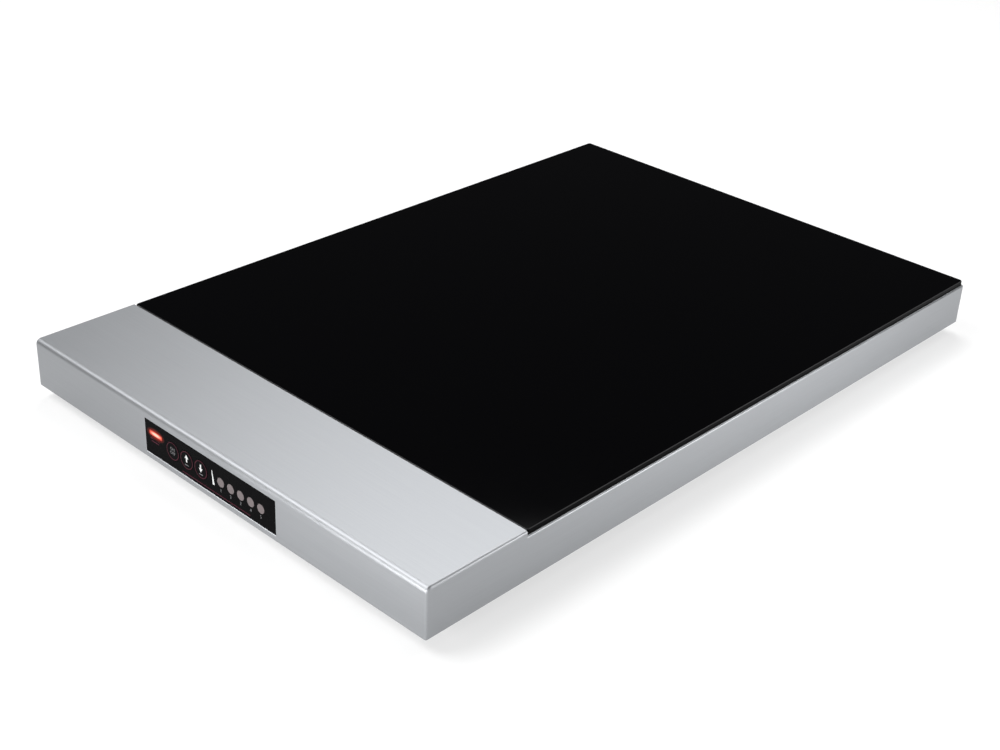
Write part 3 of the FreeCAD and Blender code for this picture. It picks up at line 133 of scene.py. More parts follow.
# %% [markdown]
# ## Brushed stainless steel
#
# Stainless sheet with a satin finish is ground with a long belt, which leaves fine straight lines along
# the sheet. They spread a reflection across the grain, so the steel looks soft and slightly streaked.
# Real lines are about 0.05 mm apart, too fine to show, so they are drawn 0.7 mm apart and faint. On the
# side walls the same grain runs along the wall, and the wall's own direction picks which one is used.

# %% Brushed stainless steel
GRAIN_LENGTH = 90 * MM
GRAIN_WIDTH = 0.7 * MM


def brushed_steel(name, dark, light, roughness, spread):
    """Steel with grain along the front and the deck, and along the side walls."""
    material, tree, shader = finish_of(name, {"Metallic": 1.0, "Roughness": roughness})
    long, fine = 1 / GRAIN_LENGTH, 1 / GRAIN_WIDTH
    across, along = (
        add(tree, "TexNoise", {"Scale": 1.0, "Detail": 3.0}, {"Vector": place_in(tree, scale)})
        for scale in ((long, fine, fine), (fine, long, fine)))
    facing = add(tree, "SeparateXYZ", links={0: add(tree, "TexCoord").outputs["Normal"]})
    side = add(tree, "Math", {"operation": "ABSOLUTE"}, {0: facing.outputs[0]})
    grain = add(tree, "Mix", {"data_type": "FLOAT"},
                {0: side.outputs[0], 2: across.outputs[0], 3: along.outputs[0]})
    tint = add(tree, "ValToRGB", {"stops": [(0.25, dark), (0.75, light)]}, {0: grain.outputs[0]})
    rough = add(tree, "MapRange", {3: roughness - spread, 4: roughness + spread}, {0: grain.outputs[0]})
    relief = add(tree, "Bump", {"Strength": 0.12, "Distance": 0.02 * MM}, {"Height": grain.outputs[0]})
    for socket, source in (("Base Color", tint), ("Roughness", rough), ("Normal", relief)):
        tree.links.new(source.outputs[0], shader.inputs[socket])
    return material


stainless = brushed_steel("brushed_stainless_steel", "9A9C9F", "A0A2A5", 0.5, 0.04)
print(stainless.name, "with", len(stainless.node_tree.nodes), "nodes")

# %% [markdown]
# ## Black glass
#
# The plate is black glass ceramic, rolled and then polished, so it is a deep black with a sharp gloss.
# A clean plate is still not perfect: wiping leaves broad, very faint changes in its gloss. The thin edge
# is ground and not polished, and that shows as a fine grey line round the plate.

# %% Black glass and its ground edge
WIPE_MARK = 60 * MM

black_glass, tree, shader = finish_of("polished_black_glass", {
    "Base Color": linear("050506"), "Roughness": 0.06, "IOR": 1.5, "Specular IOR Level": 0.02})
wipes = add(tree, "TexNoise", {"Scale": 1 / WIPE_MARK, "Detail": 4.0}, {"Vector": place_in(tree)})
gloss = add(tree, "MapRange", {3: 0.05, 4: 0.09}, {0: wipes.outputs[0]})
tree.links.new(gloss.outputs[0], shader.inputs["Roughness"])

GRIT = 0.4 * MM
ground_glass, tree, shader = finish_of(
    "ground_glass_edge", {"Base Color": linear("2A2A2B"), "Roughness": 0.45,
                          "Specular IOR Level": 0.2})
grit = add(tree, "TexNoise", {"Scale": 1 / GRIT}, {"Vector": place_in(tree)})
tint = add(tree, "ValToRGB", {"stops": [(0.3, "252526"), (0.7, "333334")]}, {0: grit.outputs[0]})
tree.links.new(tint.outputs[0], shader.inputs["Base Color"])
print("glass finishes:", black_glass.name, "and", ground_glass.name)

# %% [markdown]
# ## Moulded plastics and rubbers
#
# The keys, boards' parts, feet and leads are moulded. A mould is spark eroded, which leaves an even fine
# grain on each part, and rubber has a softer, duller one. One function makes them all, and each call
# says its colour, its gloss and the size of its grain.

# %% Moulded plastics and rubbers
def moulded(name, dark, light, roughness, grain=0.5, relief=0.15, **more):
    """A moulded part: two close colours, a gloss and the size of its grain in mm."""
    settings = {"Roughness": roughness, "IOR": 1.5}
    settings.update({key.replace("_", " "): value for key, value in more.items()})
    material, tree, shader = finish_of(name, settings)
    cells = add(tree, "TexNoise", {"Scale": 1 / (grain * MM), "Detail": 2.0}, {"Vector": place_in(tree)})
    tint = add(tree, "ValToRGB", {"stops": [(0.3, dark), (0.7, light)]}, {0: cells.outputs[0]})
    rough = add(tree, "MapRange", {3: roughness * 0.85, 4: roughness * 1.15}, {0: cells.outputs[0]})
    bump = add(tree, "Bump", {"Strength": relief, "Distance": 0.05 * MM}, {"Height": cells.outputs[0]})
    for socket, source in (("Base Color", tint), ("Roughness", rough), ("Normal", bump)):
        tree.links.new(source.outputs[0], shader.inputs[socket])
    return material


FINISHES = {
    "stainless": stainless,
    "black_glass": black_glass,
    # hard-coated acrylic window, printed black from behind: nearly as glossy as the plate
    "panel_black": moulded("hard_coated_acrylic_black", "060607", "09090A", 0.12, 2.0, 0.02,
                           Specular_IOR_Level=0.01),
    "key_black": moulded("moulded_abs_key_black", "070708", "0A0A0B", 0.16, 0.6, 0.04,
                         Specular_IOR_Level=0.01),
    "carrier_black": moulded("moulded_abs_black", "141416", "1B1B1D", 0.5),
    "inlet_black": moulded("moulded_nylon_black", "121214", "1A1A1C", 0.42, 0.6),
    "seal_rubber": moulded("silicone_rubber_black", "060606", "0A0A0A", 0.7, 0.8,
                           Specular_IOR_Level=0.1),
    "foot_rubber": moulded("nitrile_rubber_black", "151516", "1E1E20", 0.78, 0.7, 0.3),
    "plunger_white": moulded("acetal_white", "DAD9D3", "E6E5E0", 0.35),
    "lens_grey": moulded("frosted_acrylic_rose_grey", "554C4D", "605657", 0.3, 0.8, 0.05),
    "led_clear": moulded("epoxy_lens_clear", "C9CCCB", "DCDEDC", 0.12, 1.5, 0.02),
    "component_black": moulded("moulded_epoxy_black", "191A1B", "232425", 0.5),
    "component_blue": moulded("moulded_pbt_blue", "1E4F8F", "255A9C", 0.4),
    "component_white": moulded("moulded_nylon_white", "D8D5C9", "E4E1D6", 0.45),
    "terminal_green": moulded("moulded_nylon_green", "1E6B3E", "267A49", 0.42),
    "lead_black": moulded("pvc_sheath_black", "131314", "1C1C1D", 0.5, 0.4),
    "lead_brown": moulded("pvc_insulation_brown", "4E2C18", "5C3620", 0.42, 0.4),
    "lead_white": moulded("silicone_insulation_white", "D5D2CA", "E2DFD8", 0.55, 0.4),
    "clip_nylon": moulded("moulded_nylon_natural", "CFCBBB", "DDD9CB", 0.45),
    "silicone_mat": moulded("silicone_sheet_orange", "A8431F", "B85028", 0.65, 1.2, 0.3),
}
print("finishes so far:", len(FINISHES))

# %% [markdown]
# ## Plated and rolled metals
#
# Screws and nuts are zinc plated, the base and the heater tray are galvanised sheet, and the heat
# spreader is mill-finish aluminium. All are soft mirrors, broken up by the crystals of the coating or
# the lines of the rolling mill. A cell pattern draws the crystals and a stretched noise the mill lines.

# %% Plated and rolled metals
def plated(name, dark, light, roughness, crystal):
    """A metal whose coating or crystals are patches of two close colours, with their size in mm."""
    material, tree, shader = finish_of(name, {"Metallic": 1.0, "Roughness": roughness})
    patches = add(tree, "TexVoronoi", {"Scale": 1 / (crystal * MM)}, {"Vector": place_in(tree)})
    shade = add(tree, "SeparateXYZ", links={0: patches.outputs["Color"]})
    tint = add(tree, "ValToRGB", {"stops": [(0.0, dark), (1.0, light)]}, {0: shade.outputs[0]})
    rough = add(tree, "MapRange", {3: roughness * 0.8, 4: roughness * 1.2}, {0: shade.outputs[1]})
    for socket, source in (("Base Color", tint), ("Roughness", rough)):
        tree.links.new(source.outputs[0], shader.inputs[socket])
    return material


FINISHES.update({
    "zinc_sheet": plated("galvanised_steel_sheet", "A3A6A8", "B4B7B9", 0.38, 9.0),
    "steel_fastener": plated("zinc_plated_steel", "B0B2B6", "BEC0C3", 0.3, 1.2),
    "brass": plated("turned_brass", "C2A25C", "CDAE68", 0.28, 1.5),
    "core_iron": plated("laminated_iron", "4B4A49", "5C5A58", 0.5, 0.8),
    "aluminium_sheet": brushed_steel("mill_finish_aluminium", "B4B5B6", "C2C3C4", 0.32, 0.06),
    "heating_foil": brushed_steel("etched_alloy_foil", "8E857A", "9C9388", 0.35, 0.05),
})
print("finishes with the metals:", len(FINISHES))

# %% [markdown]
# ## Insulation, circuit boards and ribbon
#
# Three finishes need a pattern of their own: the glass wool board is a felt of fibres, a circuit board
# is green lacquer over copper tracks, and a ribbon cable is a row of round wires side by side, whose
# roundness is painted shade: lighter stripes along each wire's crown and darker ones in the grooves.

# %% Insulation, circuit boards and ribbon
FIBRE_LENGTH = 12 * MM
FIBRE_WIDTH = 0.4 * MM
TRACK_PITCH = 3.0 * MM
WIRE_PITCH = 1.27 * MM

wool, tree, shader = finish_of("glass_wool_board", {"Roughness": 0.95})
fibres = add(tree, "TexNoise", {"Scale": 1.0, "Detail": 6.0, "Distortion": 2.0},
             {"Vector": place_in(tree, (1 / FIBRE_LENGTH, 1 / FIBRE_WIDTH, 1 / FIBRE_WIDTH))})
tint = add(tree, "ValToRGB", {"stops": [(0.3, "C9BE9E"), (0.7, "E3DBC2")]}, {0: fibres.outputs[0]})
felt = add(tree, "Bump", {"Strength": 0.6, "Distance": 0.4 * MM}, {"Height": fibres.outputs[0]})
tree.links.new(tint.outputs[0], shader.inputs["Base Color"])
tree.links.new(felt.outputs[0], shader.inputs["Normal"])

board, tree, shader = finish_of("solder_masked_board", {"Roughness": 0.3})
tracks = add(tree, "TexBrick", {"Scale": 1 / TRACK_PITCH, "Color1": linear("0F4A2A"),
                                "Color2": linear("14552F"), "Mortar": linear("2E7A46"),
                                "Mortar Size": 0.06}, {"Vector": place_in(tree)})
tree.links.new(tracks.outputs[0], shader.inputs["Base Color"])

# The ribbon's stripes are painted shade: lighter along each round wire's crown, darker in the grooves
# between wires.
ribbon, tree, shader = finish_of("pvc_ribbon_grey", {"Roughness": 0.5})
painted_wire_shade = add(tree, "TexWave", {"Scale": 1 / WIRE_PITCH / math.tau, "wave_profile": "SIN"},
            {"Vector": place_in(tree)})
tint = add(tree, "ValToRGB", {"stops": [(0.2, "77787A"), (0.8, "9A9B9D")]}, {0: painted_wire_shade.outputs[1]})
tree.links.new(tint.outputs[0], shader.inputs["Base Color"])

FINISHES.update({"insulation": wool, "circuit_board": board, "ribbon_grey": ribbon})
print("ribbon wires every", WIRE_PITCH / MM, "mm, board tracks every", TRACK_PITCH / MM, "mm")

# %% [markdown]
# ## The lit lamp bar
#
# A long red lens is lit from behind by small lamps. It looks almost white along its middle, where the
# lamps are, and falls off to a deep red at its rim. A round gradient, stretched to the shape of the bar,
# drives the colour of its light.

# %% Lit lamp bar
LAMP_REACH = Vector((13.0, 10.0, 3.0)) * MM

low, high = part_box("lamp_lens")
lamp_middle = Vector(((low.x + high.x) / 2, low.y, (low.z + high.z) / 2))


def fall_round_lamp(tree, reach):
    """A value that is 1 in the middle of the lamp's face and 0 at a reach along each axis."""
    where = add(tree, "TexCoord")
    shift = [-middle / size for middle, size in zip(lamp_middle, reach)]
    from_middle = add(tree, "Mapping", {"Location": shift, "Scale": [1 / size for size in reach]},
                      {"Vector": where.outputs["Object"]})
    return add(tree, "TexGradient", {"gradient_type": "SPHERICAL"}, {"Vector": from_middle.outputs[0]})


lamp_red, tree, shader = finish_of("lit_acrylic_red", {
    "Base Color": linear("3A0506"), "Roughness": 0.3, "Specular IOR Level": 0.2,
    "Emission Strength": 1.0})
fall = fall_round_lamp(tree, LAMP_REACH)
glow = add(tree, "ValToRGB", {"stops": [(0.05, "8C100C"), (0.75, "FFDCC4")]}, {0: fall.outputs[1]})
glow.color_ramp.elements.new(0.4).color = linear("F2502C")
tree.links.new(glow.outputs[0], shader.inputs["Emission Color"])
FINISHES["lamp_red"] = lamp_red
print("middle of the lamp:", [round(value / MM, 1) for value in lamp_middle], "mm")

# %% [markdown]
# ## Finishes on the solids
#
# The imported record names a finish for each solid. Each solid's only material slot gets the material
# made here for that name.

# %% Finishes on the solids
dressed = 0
for node_name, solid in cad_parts.items():
    for slot in solid.material_slots:
        slot.material = FINISHES[slot.material.name.split(".")[0]]
        dressed += 1
print("solids dressed:", dressed)

# %% [markdown]
# ## Tools for modelling
#
# An operator acts on whatever is selected, so every step starts with nothing selected and then selects
# faces or edges by where they are or which way they point.

# %% Modelling helpers
def deselect():
    """Nothing selected, in object mode."""
    if bpy.context.object and bpy.context.object.mode != "OBJECT":
        bpy.ops.object.mode_set(mode="OBJECT")
    bpy.ops.object.select_all(action="DESELECT")


def named(name):
    """Names the new active object and its mesh."""
    made = bpy.context.object
    made.name = made.data.name = name
    return made


def choose(piece, kind, test):
    """In edit mode, selects the faces or the edges that pass a test, and says how many."""
    deselect()
    bpy.context.view_layer.objects.active = piece
    piece.select_set(True)
    bpy.ops.object.mode_set(mode="EDIT")
    bpy.ops.mesh.select_mode(type=kind)
    bpy.ops.mesh.select_all(action="DESELECT")
    mesh = bmesh.from_edit_mesh(piece.data)
    parts = mesh.faces if kind == "FACE" else mesh.edges
    chosen = [part for part in parts if test(part)]
    for part in chosen:
        part.select_set(True)
    bmesh.update_edit_mesh(piece.data)
    return len(chosen)


def leave(piece):
    """Back to object mode, with the place of the piece moved into its mesh."""
    bpy.ops.object.mode_set(mode="OBJECT")
    deselect()
    piece.select_set(True)
    bpy.context.view_layer.objects.active = piece
    bpy.ops.object.transform_apply(location=True, rotation=True, scale=True)


def wear(piece, *materials):
    """Gives a piece its materials, the first one all over."""
    piece.data.materials.clear()
    for material in materials:
        piece.data.materials.append(material)


# %% [markdown]
# ## Glass plate
#
# The plate is one sheet of glass with its rim ground to a fine chamfer. It starts as a block of the
# plate's size. Its upright corners are rounded, then the rim's edges get the narrow chamfer, and those
# faces take the ground finish.

# %% Glass plate
CORNER = 3 * MM
ARRIS = 0.6 * MM
ARRIS_TILT = (0.2, 0.9)

low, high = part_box("glass_top")
deselect()
bpy.ops.mesh.primitive_cube_add(size=1, location=(low + high) / 2, scale=high - low)
glass = named("glass_plate")
leave(glass)
choose(glass, "EDGE", lambda edge: abs(edge.verts[0].co.z - edge.verts[1].co.z) > MM)
bpy.ops.mesh.bevel(offset=CORNER, segments=8)
choose(glass, "EDGE", lambda edge: abs(edge.verts[0].co.z - edge.verts[1].co.z) < MM / 10
       and any(abs(face.normal.z) < 0.5 for face in edge.link_faces))
bpy.ops.mesh.bevel(offset=ARRIS, segments=1, material=1)
leave(glass)
wear(glass, black_glass, ground_glass)
for face in glass.data.polygons:
    face.material_index = int(ARRIS_TILT[0] < abs(face.normal.z) < ARRIS_TILT[1])
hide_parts("glass_top")
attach(glass, "warmer")
print("glass plate:", len(glass.data.polygons), "faces")

# %% [markdown]
# ## Sealant bead
#
# Silicone fills the slot between the plate's rim and the steel ledge, so a black line runs round the
# glass. It starts as a flat outline just outside the rim; an inset leaves a narrow ring of it, and the
# ring is drawn up to the underside of the glass.

# %% Sealant bead
BEAD_REACH = 0.3 * MM
BEAD_WIDTH = 2.2 * MM

low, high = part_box("glass_top")
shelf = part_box("glass_seal")[0].z
deselect()
bpy.ops.mesh.primitive_plane_add(size=1, location=((low.x + high.x) / 2, (low.y + high.y) / 2, shelf))
bead = named("sealant_bead")
bead.scale = (high.x - low.x + 2 * BEAD_REACH, high.y - low.y + 2 * BEAD_REACH, 1)
leave(bead)
choose(bead, "FACE", lambda face: True)
bpy.ops.mesh.bevel(offset=CORNER, segments=6, affect="VERTICES")
bpy.ops.mesh.select_all(action="SELECT")
bpy.ops.mesh.inset(thickness=BEAD_WIDTH)
bpy.ops.mesh.delete(type="FACE")
bpy.ops.mesh.select_all(action="SELECT")
bpy.ops.mesh.extrude_region_move(TRANSFORM_OT_translate={"value": (0, 0, low.z - shelf)})
bpy.ops.mesh.select_all(action="SELECT")
bpy.ops.mesh.normals_make_consistent(inside=False)
leave(bead)
wear(bead, FINISHES["seal_rubber"])
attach(bead, "warmer")
print("sealant bead:", len(bead.data.polygons), "faces")

# %% [markdown]
# ## Casing
#
# The casing is one sheet of steel, cut and folded. Its solid has the right shape already, so a copy of it
# is used: doubles are merged and the shading is smoothed over the bends and kept crisp at cut edges.
# The long bend over the front is a little softer than the tool's radius, so it is let out. Each
# smoothed normal then takes the side of the larger face, so that flat walls stay flat.

# %% Casing
BEND_ANGLE = math.radians(35)
FINE_MERGE = 0.002 * MM
FRONT_BEND = 3.01 * MM
BEND_GROWTH = 1.7
FRONT_TOP = Vector((0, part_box("casing")[0].y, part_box("casing")[1].z))

deselect()
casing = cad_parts["casing"].copy()
casing.data = casing.data.copy()
casing.parent = None
for key in list(casing.keys()):
    del casing[key]
bpy.context.scene.collection.objects.link(casing)
casing.name = casing.data.name = "folded_casing"
choose(casing, "FACE", lambda face: True)
bpy.ops.mesh.remove_doubles(threshold=FINE_MERGE)
leave(casing)
for vertex in casing.data.vertices:
    back, down = vertex.co.y - FRONT_TOP.y, FRONT_TOP.z - vertex.co.z
    if max(back, down) < FRONT_BEND:
        vertex.co.y = FRONT_TOP.y + back * BEND_GROWTH
        vertex.co.z = FRONT_TOP.z - down * BEND_GROWTH
bpy.ops.object.shade_smooth_by_angle(angle=BEND_ANGLE)
bpy.ops.object.modifier_add(type="WEIGHTED_NORMAL")
casing.modifiers[-1].weight = 100
casing.modifiers[-1].keep_sharp = True
bpy.ops.object.modifier_apply(modifier=casing.modifiers[-1].name)
wear(casing, stainless)
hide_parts("casing")
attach(casing, "warmer")
print("casing:", len(casing.data.polygons), "faces")

# %% [markdown]
# ## Printed marks
#
# The marks on the window are screen printed: a film of ink about 0.05 mm thick. Each is a flat shape
# given that thickness, laid on the face that carries it, and marks on a key ride on that key.

# %% Print helpers
INK = 0.05 * MM
FILM_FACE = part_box("panel_film")[0].y
FLAT_TO_FRONT = (math.pi / 2, 0, 0)

ink_white = moulded("screen_ink_white", "BEBFBF", "CACBCB", 0.5, 0.3, 0.1)
ink_grey = moulded("screen_ink_grey", "5C5C5E", "6A6A6C", 0.5, 0.3, 0.1)
ink_red = moulded("screen_ink_dull_red", "3A101D", "441423", 0.5, 0.3, 0.1, Specular_IOR_Level=0.1)


def printed(name, ink, body="warmer"):
    """Makes the active flat mesh an ink film and finishes the piece."""
    mark = named(name)
    choose(mark, "FACE", lambda face: True)
    bpy.ops.mesh.extrude_region_move(TRANSFORM_OT_translate={"value": (0, -INK, 0)})
    bpy.ops.mesh.select_all(action="SELECT")
    bpy.ops.mesh.normals_make_consistent(inside=False)
    leave(mark)
    wear(mark, ink)
    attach(mark, body)
    return mark


def flat_shape(points, face):
    """A flat mesh in the front's plane, through points given as x and z in mm above the casing."""
    deselect()
    bpy.ops.mesh.primitive_circle_add(vertices=len(points), radius=1, fill_type="NGON")
    made = bpy.context.object
    for vertex, (x, z) in zip(made.data.vertices, points):
        vertex.co = (x * MM, face, z * MM)
    return made


def flat_text(words, size, x, z, face):
    """Letters in the front's plane, centred on a point, as a mesh."""
    deselect()
    bpy.ops.object.text_add(location=(x * MM, face, z * MM), rotation=FLAT_TO_FRONT)
    letters = bpy.context.object
    letters.data.body = words
    letters.data.size = size * MM
    letters.data.align_x = letters.data.align_y = "CENTER"
    letters.data.resolution_u = 3
    bpy.ops.object.convert(target="MESH")
    leave(bpy.context.object)
    return bpy.context.object


# %% Rings on the keys
KEYS = {"power_key": "power_button", "up_key": "up_button", "down_key": "down_button"}
RING_OUTER = 8.1 * MM
RING_INNER = 7.5 * MM
middles = {}

for key_name, body in KEYS.items():
    low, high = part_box(key_name)
    middles[key_name] = Vector(((low.x + high.x) / 2, low.y, (low.z + high.z) / 2))
    deselect()
    bpy.ops.mesh.primitive_circle_add(vertices=64, radius=RING_INNER, location=middles[key_name],
                                      rotation=FLAT_TO_FRONT)
    ring = bpy.context.object
    choose(ring, "EDGE", lambda edge: True)
    bpy.ops.mesh.extrude_edges_move()
    bpy.ops.transform.resize(value=(RING_OUTER / RING_INNER,) * 3, center_override=middles[key_name])
    leave(ring)
    printed(key_name + "_ring", ink_red, body)
print("rings at x", [round(middle.x / MM, 1) for middle in middles.values()], "mm")

# %% [markdown]
# The two level keys carry an arrow over a short bar, one the other way up. The power key carries the two
# words of a switch. The arrow's outline is given from the middle of its key, so one list serves both.

# %% Symbols on the keys
ARROW = [(0, 4.0), (2.4, 0.2), (0.8, 0.2), (0.8, -3.4), (-0.8, -3.4), (-0.8, 0.2), (-2.4, 0.2)]
ARROW_RISE = 1.4
BAR = [(-2.6, -4.9), (2.6, -4.9), (2.6, -4.2), (-2.6, -4.2)]
WORD_SIZE = 4.0
WORD_RISE = 1.9

for key_name, turn in (("up_key", 1), ("down_key", -1)):
    middle = middles[key_name] / MM
    flat_shape([(middle.x + x * turn, middle.z + ARROW_RISE + z * turn) for x, z in ARROW],
               middle.y * MM)
    printed(key_name + "_arrow", ink_white, KEYS[key_name])
    flat_shape([(middle.x + x, middle.z + z) for x, z in BAR], middle.y * MM)
    printed(key_name + "_bar", ink_grey, KEYS[key_name])
middle = middles["power_key"]
for words, rise in (("ON", WORD_RISE), ("OFF", -WORD_RISE)):
    flat_text(words, WORD_SIZE, middle.x / MM, middle.z / MM + rise, middle.y)
    printed("power_key_" + words.lower(), ink_grey, "power_button")
print("arrow", ARROW[0][1] - ARROW[3][1], "mm tall, words", WORD_SIZE, "mm")

# %% [markdown]
# The window itself carries a wedge that grows with the heat level, a number under each lens, a line
# under the keys and two short lines under the lamp. Their heights are measured from the casing's lower
# edge, because that edge is easy to find in a picture.

# %% Marks on the window
CASING_FLOOR = 11.0
NUMBER_SIZE = 4.2
NUMBER_HEIGHT = 14.0
LAMP_LINE_WIDTH = 0.9
LEVEL_WEDGE = [(2.3, 28.4), (2.9, 28.4), (5.5, 15.2), (3.1, 15.2)]
RED_LINE = [(-37.6, 8.2), (50.8, 8.2), (50.8, 8.9), (-37.6, 8.9)]
LAMP_LINES = [(-80.5, 21.0, 13.0), (-79.0, 18.6, 10.0)]


def on_window(points):
    """Points measured from the casing's lower edge, as heights above the ground."""
    return [(x, z + CASING_FLOOR) for x, z in points]


flat_shape(on_window(LEVEL_WEDGE), FILM_FACE)
printed("level_wedge", ink_white)
flat_shape(on_window(RED_LINE), FILM_FACE)
printed("window_red_line", ink_red)
for number, (x, z, length) in enumerate(LAMP_LINES, 1):
    top = z + LAMP_LINE_WIDTH
    flat_shape(on_window([(x, z), (x + length, z), (x + length, top), (x, top)]), FILM_FACE)
    printed("lamp_line_%d" % number, ink_red)
for number in range(1, 6):
    low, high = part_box("indicator_lens_%d" % number)
    flat_text(str(number), NUMBER_SIZE, (low.x + high.x) / 2 / MM, NUMBER_HEIGHT + CASING_FLOOR,
              FILM_FACE)
    printed("level_number_%d" % number, ink_grey)
print("level numbers made:", number)

# %% [markdown]
# ## Glow round the lamp
#
# The window is a little milky, so the lamp's light spreads in it and fades out round the bar. A ring of
# film round the lens shows that: its inner loop has the shape of the bar, its outer loop is an ellipse,
# and the same kind of gradient as in the lens lights it.

# %% Glow round the lamp
GLOW_INNER = (8.7, 2.5)
GLOW_OUTER = (12.4, 5.6)
GLOW_DEPTH = 20.0
SQUARENESS = 0.35
LOOP_POINTS = 48

halo, tree, shader = finish_of("lit_acrylic_halo", {
    "Base Color": linear("0A0A0B"), "Roughness": 0.12, "Specular IOR Level": 0.02,
    "Emission Strength": 1.0})
fall = fall_round_lamp(tree, Vector((GLOW_OUTER[0], GLOW_DEPTH, GLOW_OUTER[1])) * MM)
dim = add(tree, "ValToRGB", {"stops": [(0.0, "000000"), (0.75, "A02A18")]}, {0: fall.outputs[1]})
tree.links.new(dim.outputs[0], shader.inputs["Emission Color"])

deselect()
bpy.ops.mesh.primitive_circle_add(vertices=LOOP_POINTS, radius=1)
glow_ring = bpy.context.object
lamp_face = Vector((lamp_middle.x, FILM_FACE, lamp_middle.z))
for step, vertex in enumerate(glow_ring.data.vertices):
    across, up = math.cos(math.tau * step / LOOP_POINTS), math.sin(math.tau * step / LOOP_POINTS)
    x = math.copysign(abs(across) ** SQUARENESS, across) * GLOW_INNER[0]
    z = math.copysign(abs(up) ** SQUARENESS, up) * GLOW_INNER[1]
    vertex.co = lamp_face + Vector((x, 0, z)) * MM
choose(glow_ring, "EDGE", lambda edge: True)
bpy.ops.mesh.extrude_edges_move()
leave(glow_ring)
for step, vertex in enumerate(list(glow_ring.data.vertices)[LOOP_POINTS:]):
    across, up = math.cos(math.tau * step / LOOP_POINTS), math.sin(math.tau * step / LOOP_POINTS)
    vertex.co = lamp_face + Vector((across * GLOW_OUTER[0], 0, up * GLOW_OUTER[1])) * MM
printed("lamp_glow", halo)
print("glow reaches", GLOW_OUTER, "mm from the middle of the lamp")

# %% [markdown]
# ## Window edge
#
# The opening in the front wall is laser cut and its edge is broken with a file, so a bright sloping line
# runs round the black window. It starts as a flat ring round the opening, is given a depth, and then its
# inner edge is pushed back, which leaves a slope from the wall's face down to the window.

# %% Window edge
WINDOW_LOW = Vector((-87.55, -375.0, 16.4)) * MM
WINDOW_HIGH = Vector((82.95, -375.0, 49.4)) * MM
SLOPE = 0.35 * MM

deselect()
bpy.ops.mesh.primitive_plane_add(size=1, location=(WINDOW_LOW + WINDOW_HIGH) / 2,
                                 rotation=FLAT_TO_FRONT)
edge_ring = named("window_edge")
edge_ring.scale = (WINDOW_HIGH.x - WINDOW_LOW.x, WINDOW_HIGH.z - WINDOW_LOW.z, 1)
leave(edge_ring)
choose(edge_ring, "FACE", lambda face: True)
bpy.ops.mesh.inset(thickness=SLOPE)
bpy.ops.mesh.delete(type="FACE")
bpy.ops.mesh.select_all(action="SELECT")
bpy.ops.mesh.extrude_region_move(TRANSFORM_OT_translate={"value": (0, FILM_FACE - WINDOW_LOW.y, 0)})
leave(edge_ring)
for vertex in edge_ring.data.vertices:
    inside = min(abs(vertex.co.x - side.x) for side in (WINDOW_LOW, WINDOW_HIGH)) > SLOPE / 2 \
        and min(abs(vertex.co.z - side.z) for side in (WINDOW_LOW, WINDOW_HIGH)) > SLOPE / 2
    if inside:
        vertex.co.y = FILM_FACE
choose(edge_ring, "FACE", lambda face: True)
bpy.ops.mesh.remove_doubles(threshold=MERGE)
bpy.ops.mesh.normals_make_consistent(inside=False)
leave(edge_ring)
wear(edge_ring, stainless)
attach(edge_ring, "warmer")
print("window edge:", len(edge_ring.data.polygons), "faces")

# %% [markdown]
# ## Rubber feet
#
# Each foot is moulded rubber, a little wider at the top, with a rounded sole and a deep hole for its
# screw. Its outline is drawn once, as a closed loop of edges beside the foot's axis, and spun right
# round. The other three feet are copies.

# %% Rubber feet
FOOT_OUTLINE = [(4.8, 5.5), (4.8, 0.5), (5.3, 0), (7.7, 0), (8.6, 0.4), (9.1, 1.2), (9.4, 2.4),
                (10.7, 9.0), (10.7, 10), (2.4, 10), (2.4, 5.5)]
FEET = ["foot_front_left", "foot_front_right", "foot_rear_left", "foot_rear_right"]
TURN_STEPS = 40


def foot_of(piece_name, axis):
    """Spins a foot about an upright axis at a point of the ground."""
    deselect()
    bpy.ops.mesh.primitive_circle_add(vertices=len(FOOT_OUTLINE), radius=1)
    foot = named(piece_name)
    for vertex, (radius, height) in zip(foot.data.vertices, FOOT_OUTLINE):
        vertex.co = axis + Vector((radius, 0, height)) * MM
    choose(foot, "EDGE", lambda edge: True)
    bpy.ops.mesh.spin(steps=TURN_STEPS, angle=math.tau, center=axis, axis=(0, 0, 1))
    bpy.ops.mesh.select_all(action="SELECT")
    bpy.ops.mesh.remove_doubles(threshold=MERGE)
    bpy.ops.mesh.normals_make_consistent(inside=False)
    leave(foot)
    bpy.ops.object.shade_smooth_by_angle(angle=BEND_ANGLE)
    return foot


def copy_to(piece, copy_name, shift):
    """A copy of a piece with its own mesh, moved by a distance."""
    deselect()
    other = piece.copy()
    other.data = piece.data.copy()
    bpy.context.scene.collection.objects.link(other)
    other.name = other.data.name = copy_name
    other.location = shift
    leave(other)
    return other


def axis_of(node_name):
    """The point of the ground under the middle of a solid."""
    low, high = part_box(node_name)
    return Vector(((low.x + high.x) / 2, (low.y + high.y) / 2, 0))


first_axis = axis_of(FEET[0])
feet = [foot_of("rubber_" + FEET[0], first_axis)]
feet += [copy_to(feet[0], "rubber_" + node_name, axis_of(node_name) - first_axis)
         for node_name in FEET[1:]]
for foot, node_name in zip(feet, FEET):
    wear(foot, FINISHES["foot_rubber"])
    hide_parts(node_name)
    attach(foot, "warmer")
print("feet:", len(feet), "with", len(feet[0].data.polygons), "faces each")

# %% [markdown]
# ## Pan head screws
#
# The screws under the base and in the feet have a cross recess for the driver. Each screw is a short
# cylinder whose rim is rounded and whose other end is inset and drawn out to a shank. Two bars cut out
# of the head leave the cross. One screw of each size is made and then copied to its places.

# %% Pan head screws
# The rounding and the cross's depth are shares of the head's height, and the cross's length and width
# are shares of its radius.
HEAD_SIDES = 24
HEAD_ROUNDING = 0.5
CROSS_LENGTH = 1.15
CROSS_WIDTH = 0.26
CROSS_DEPTH = 0.6


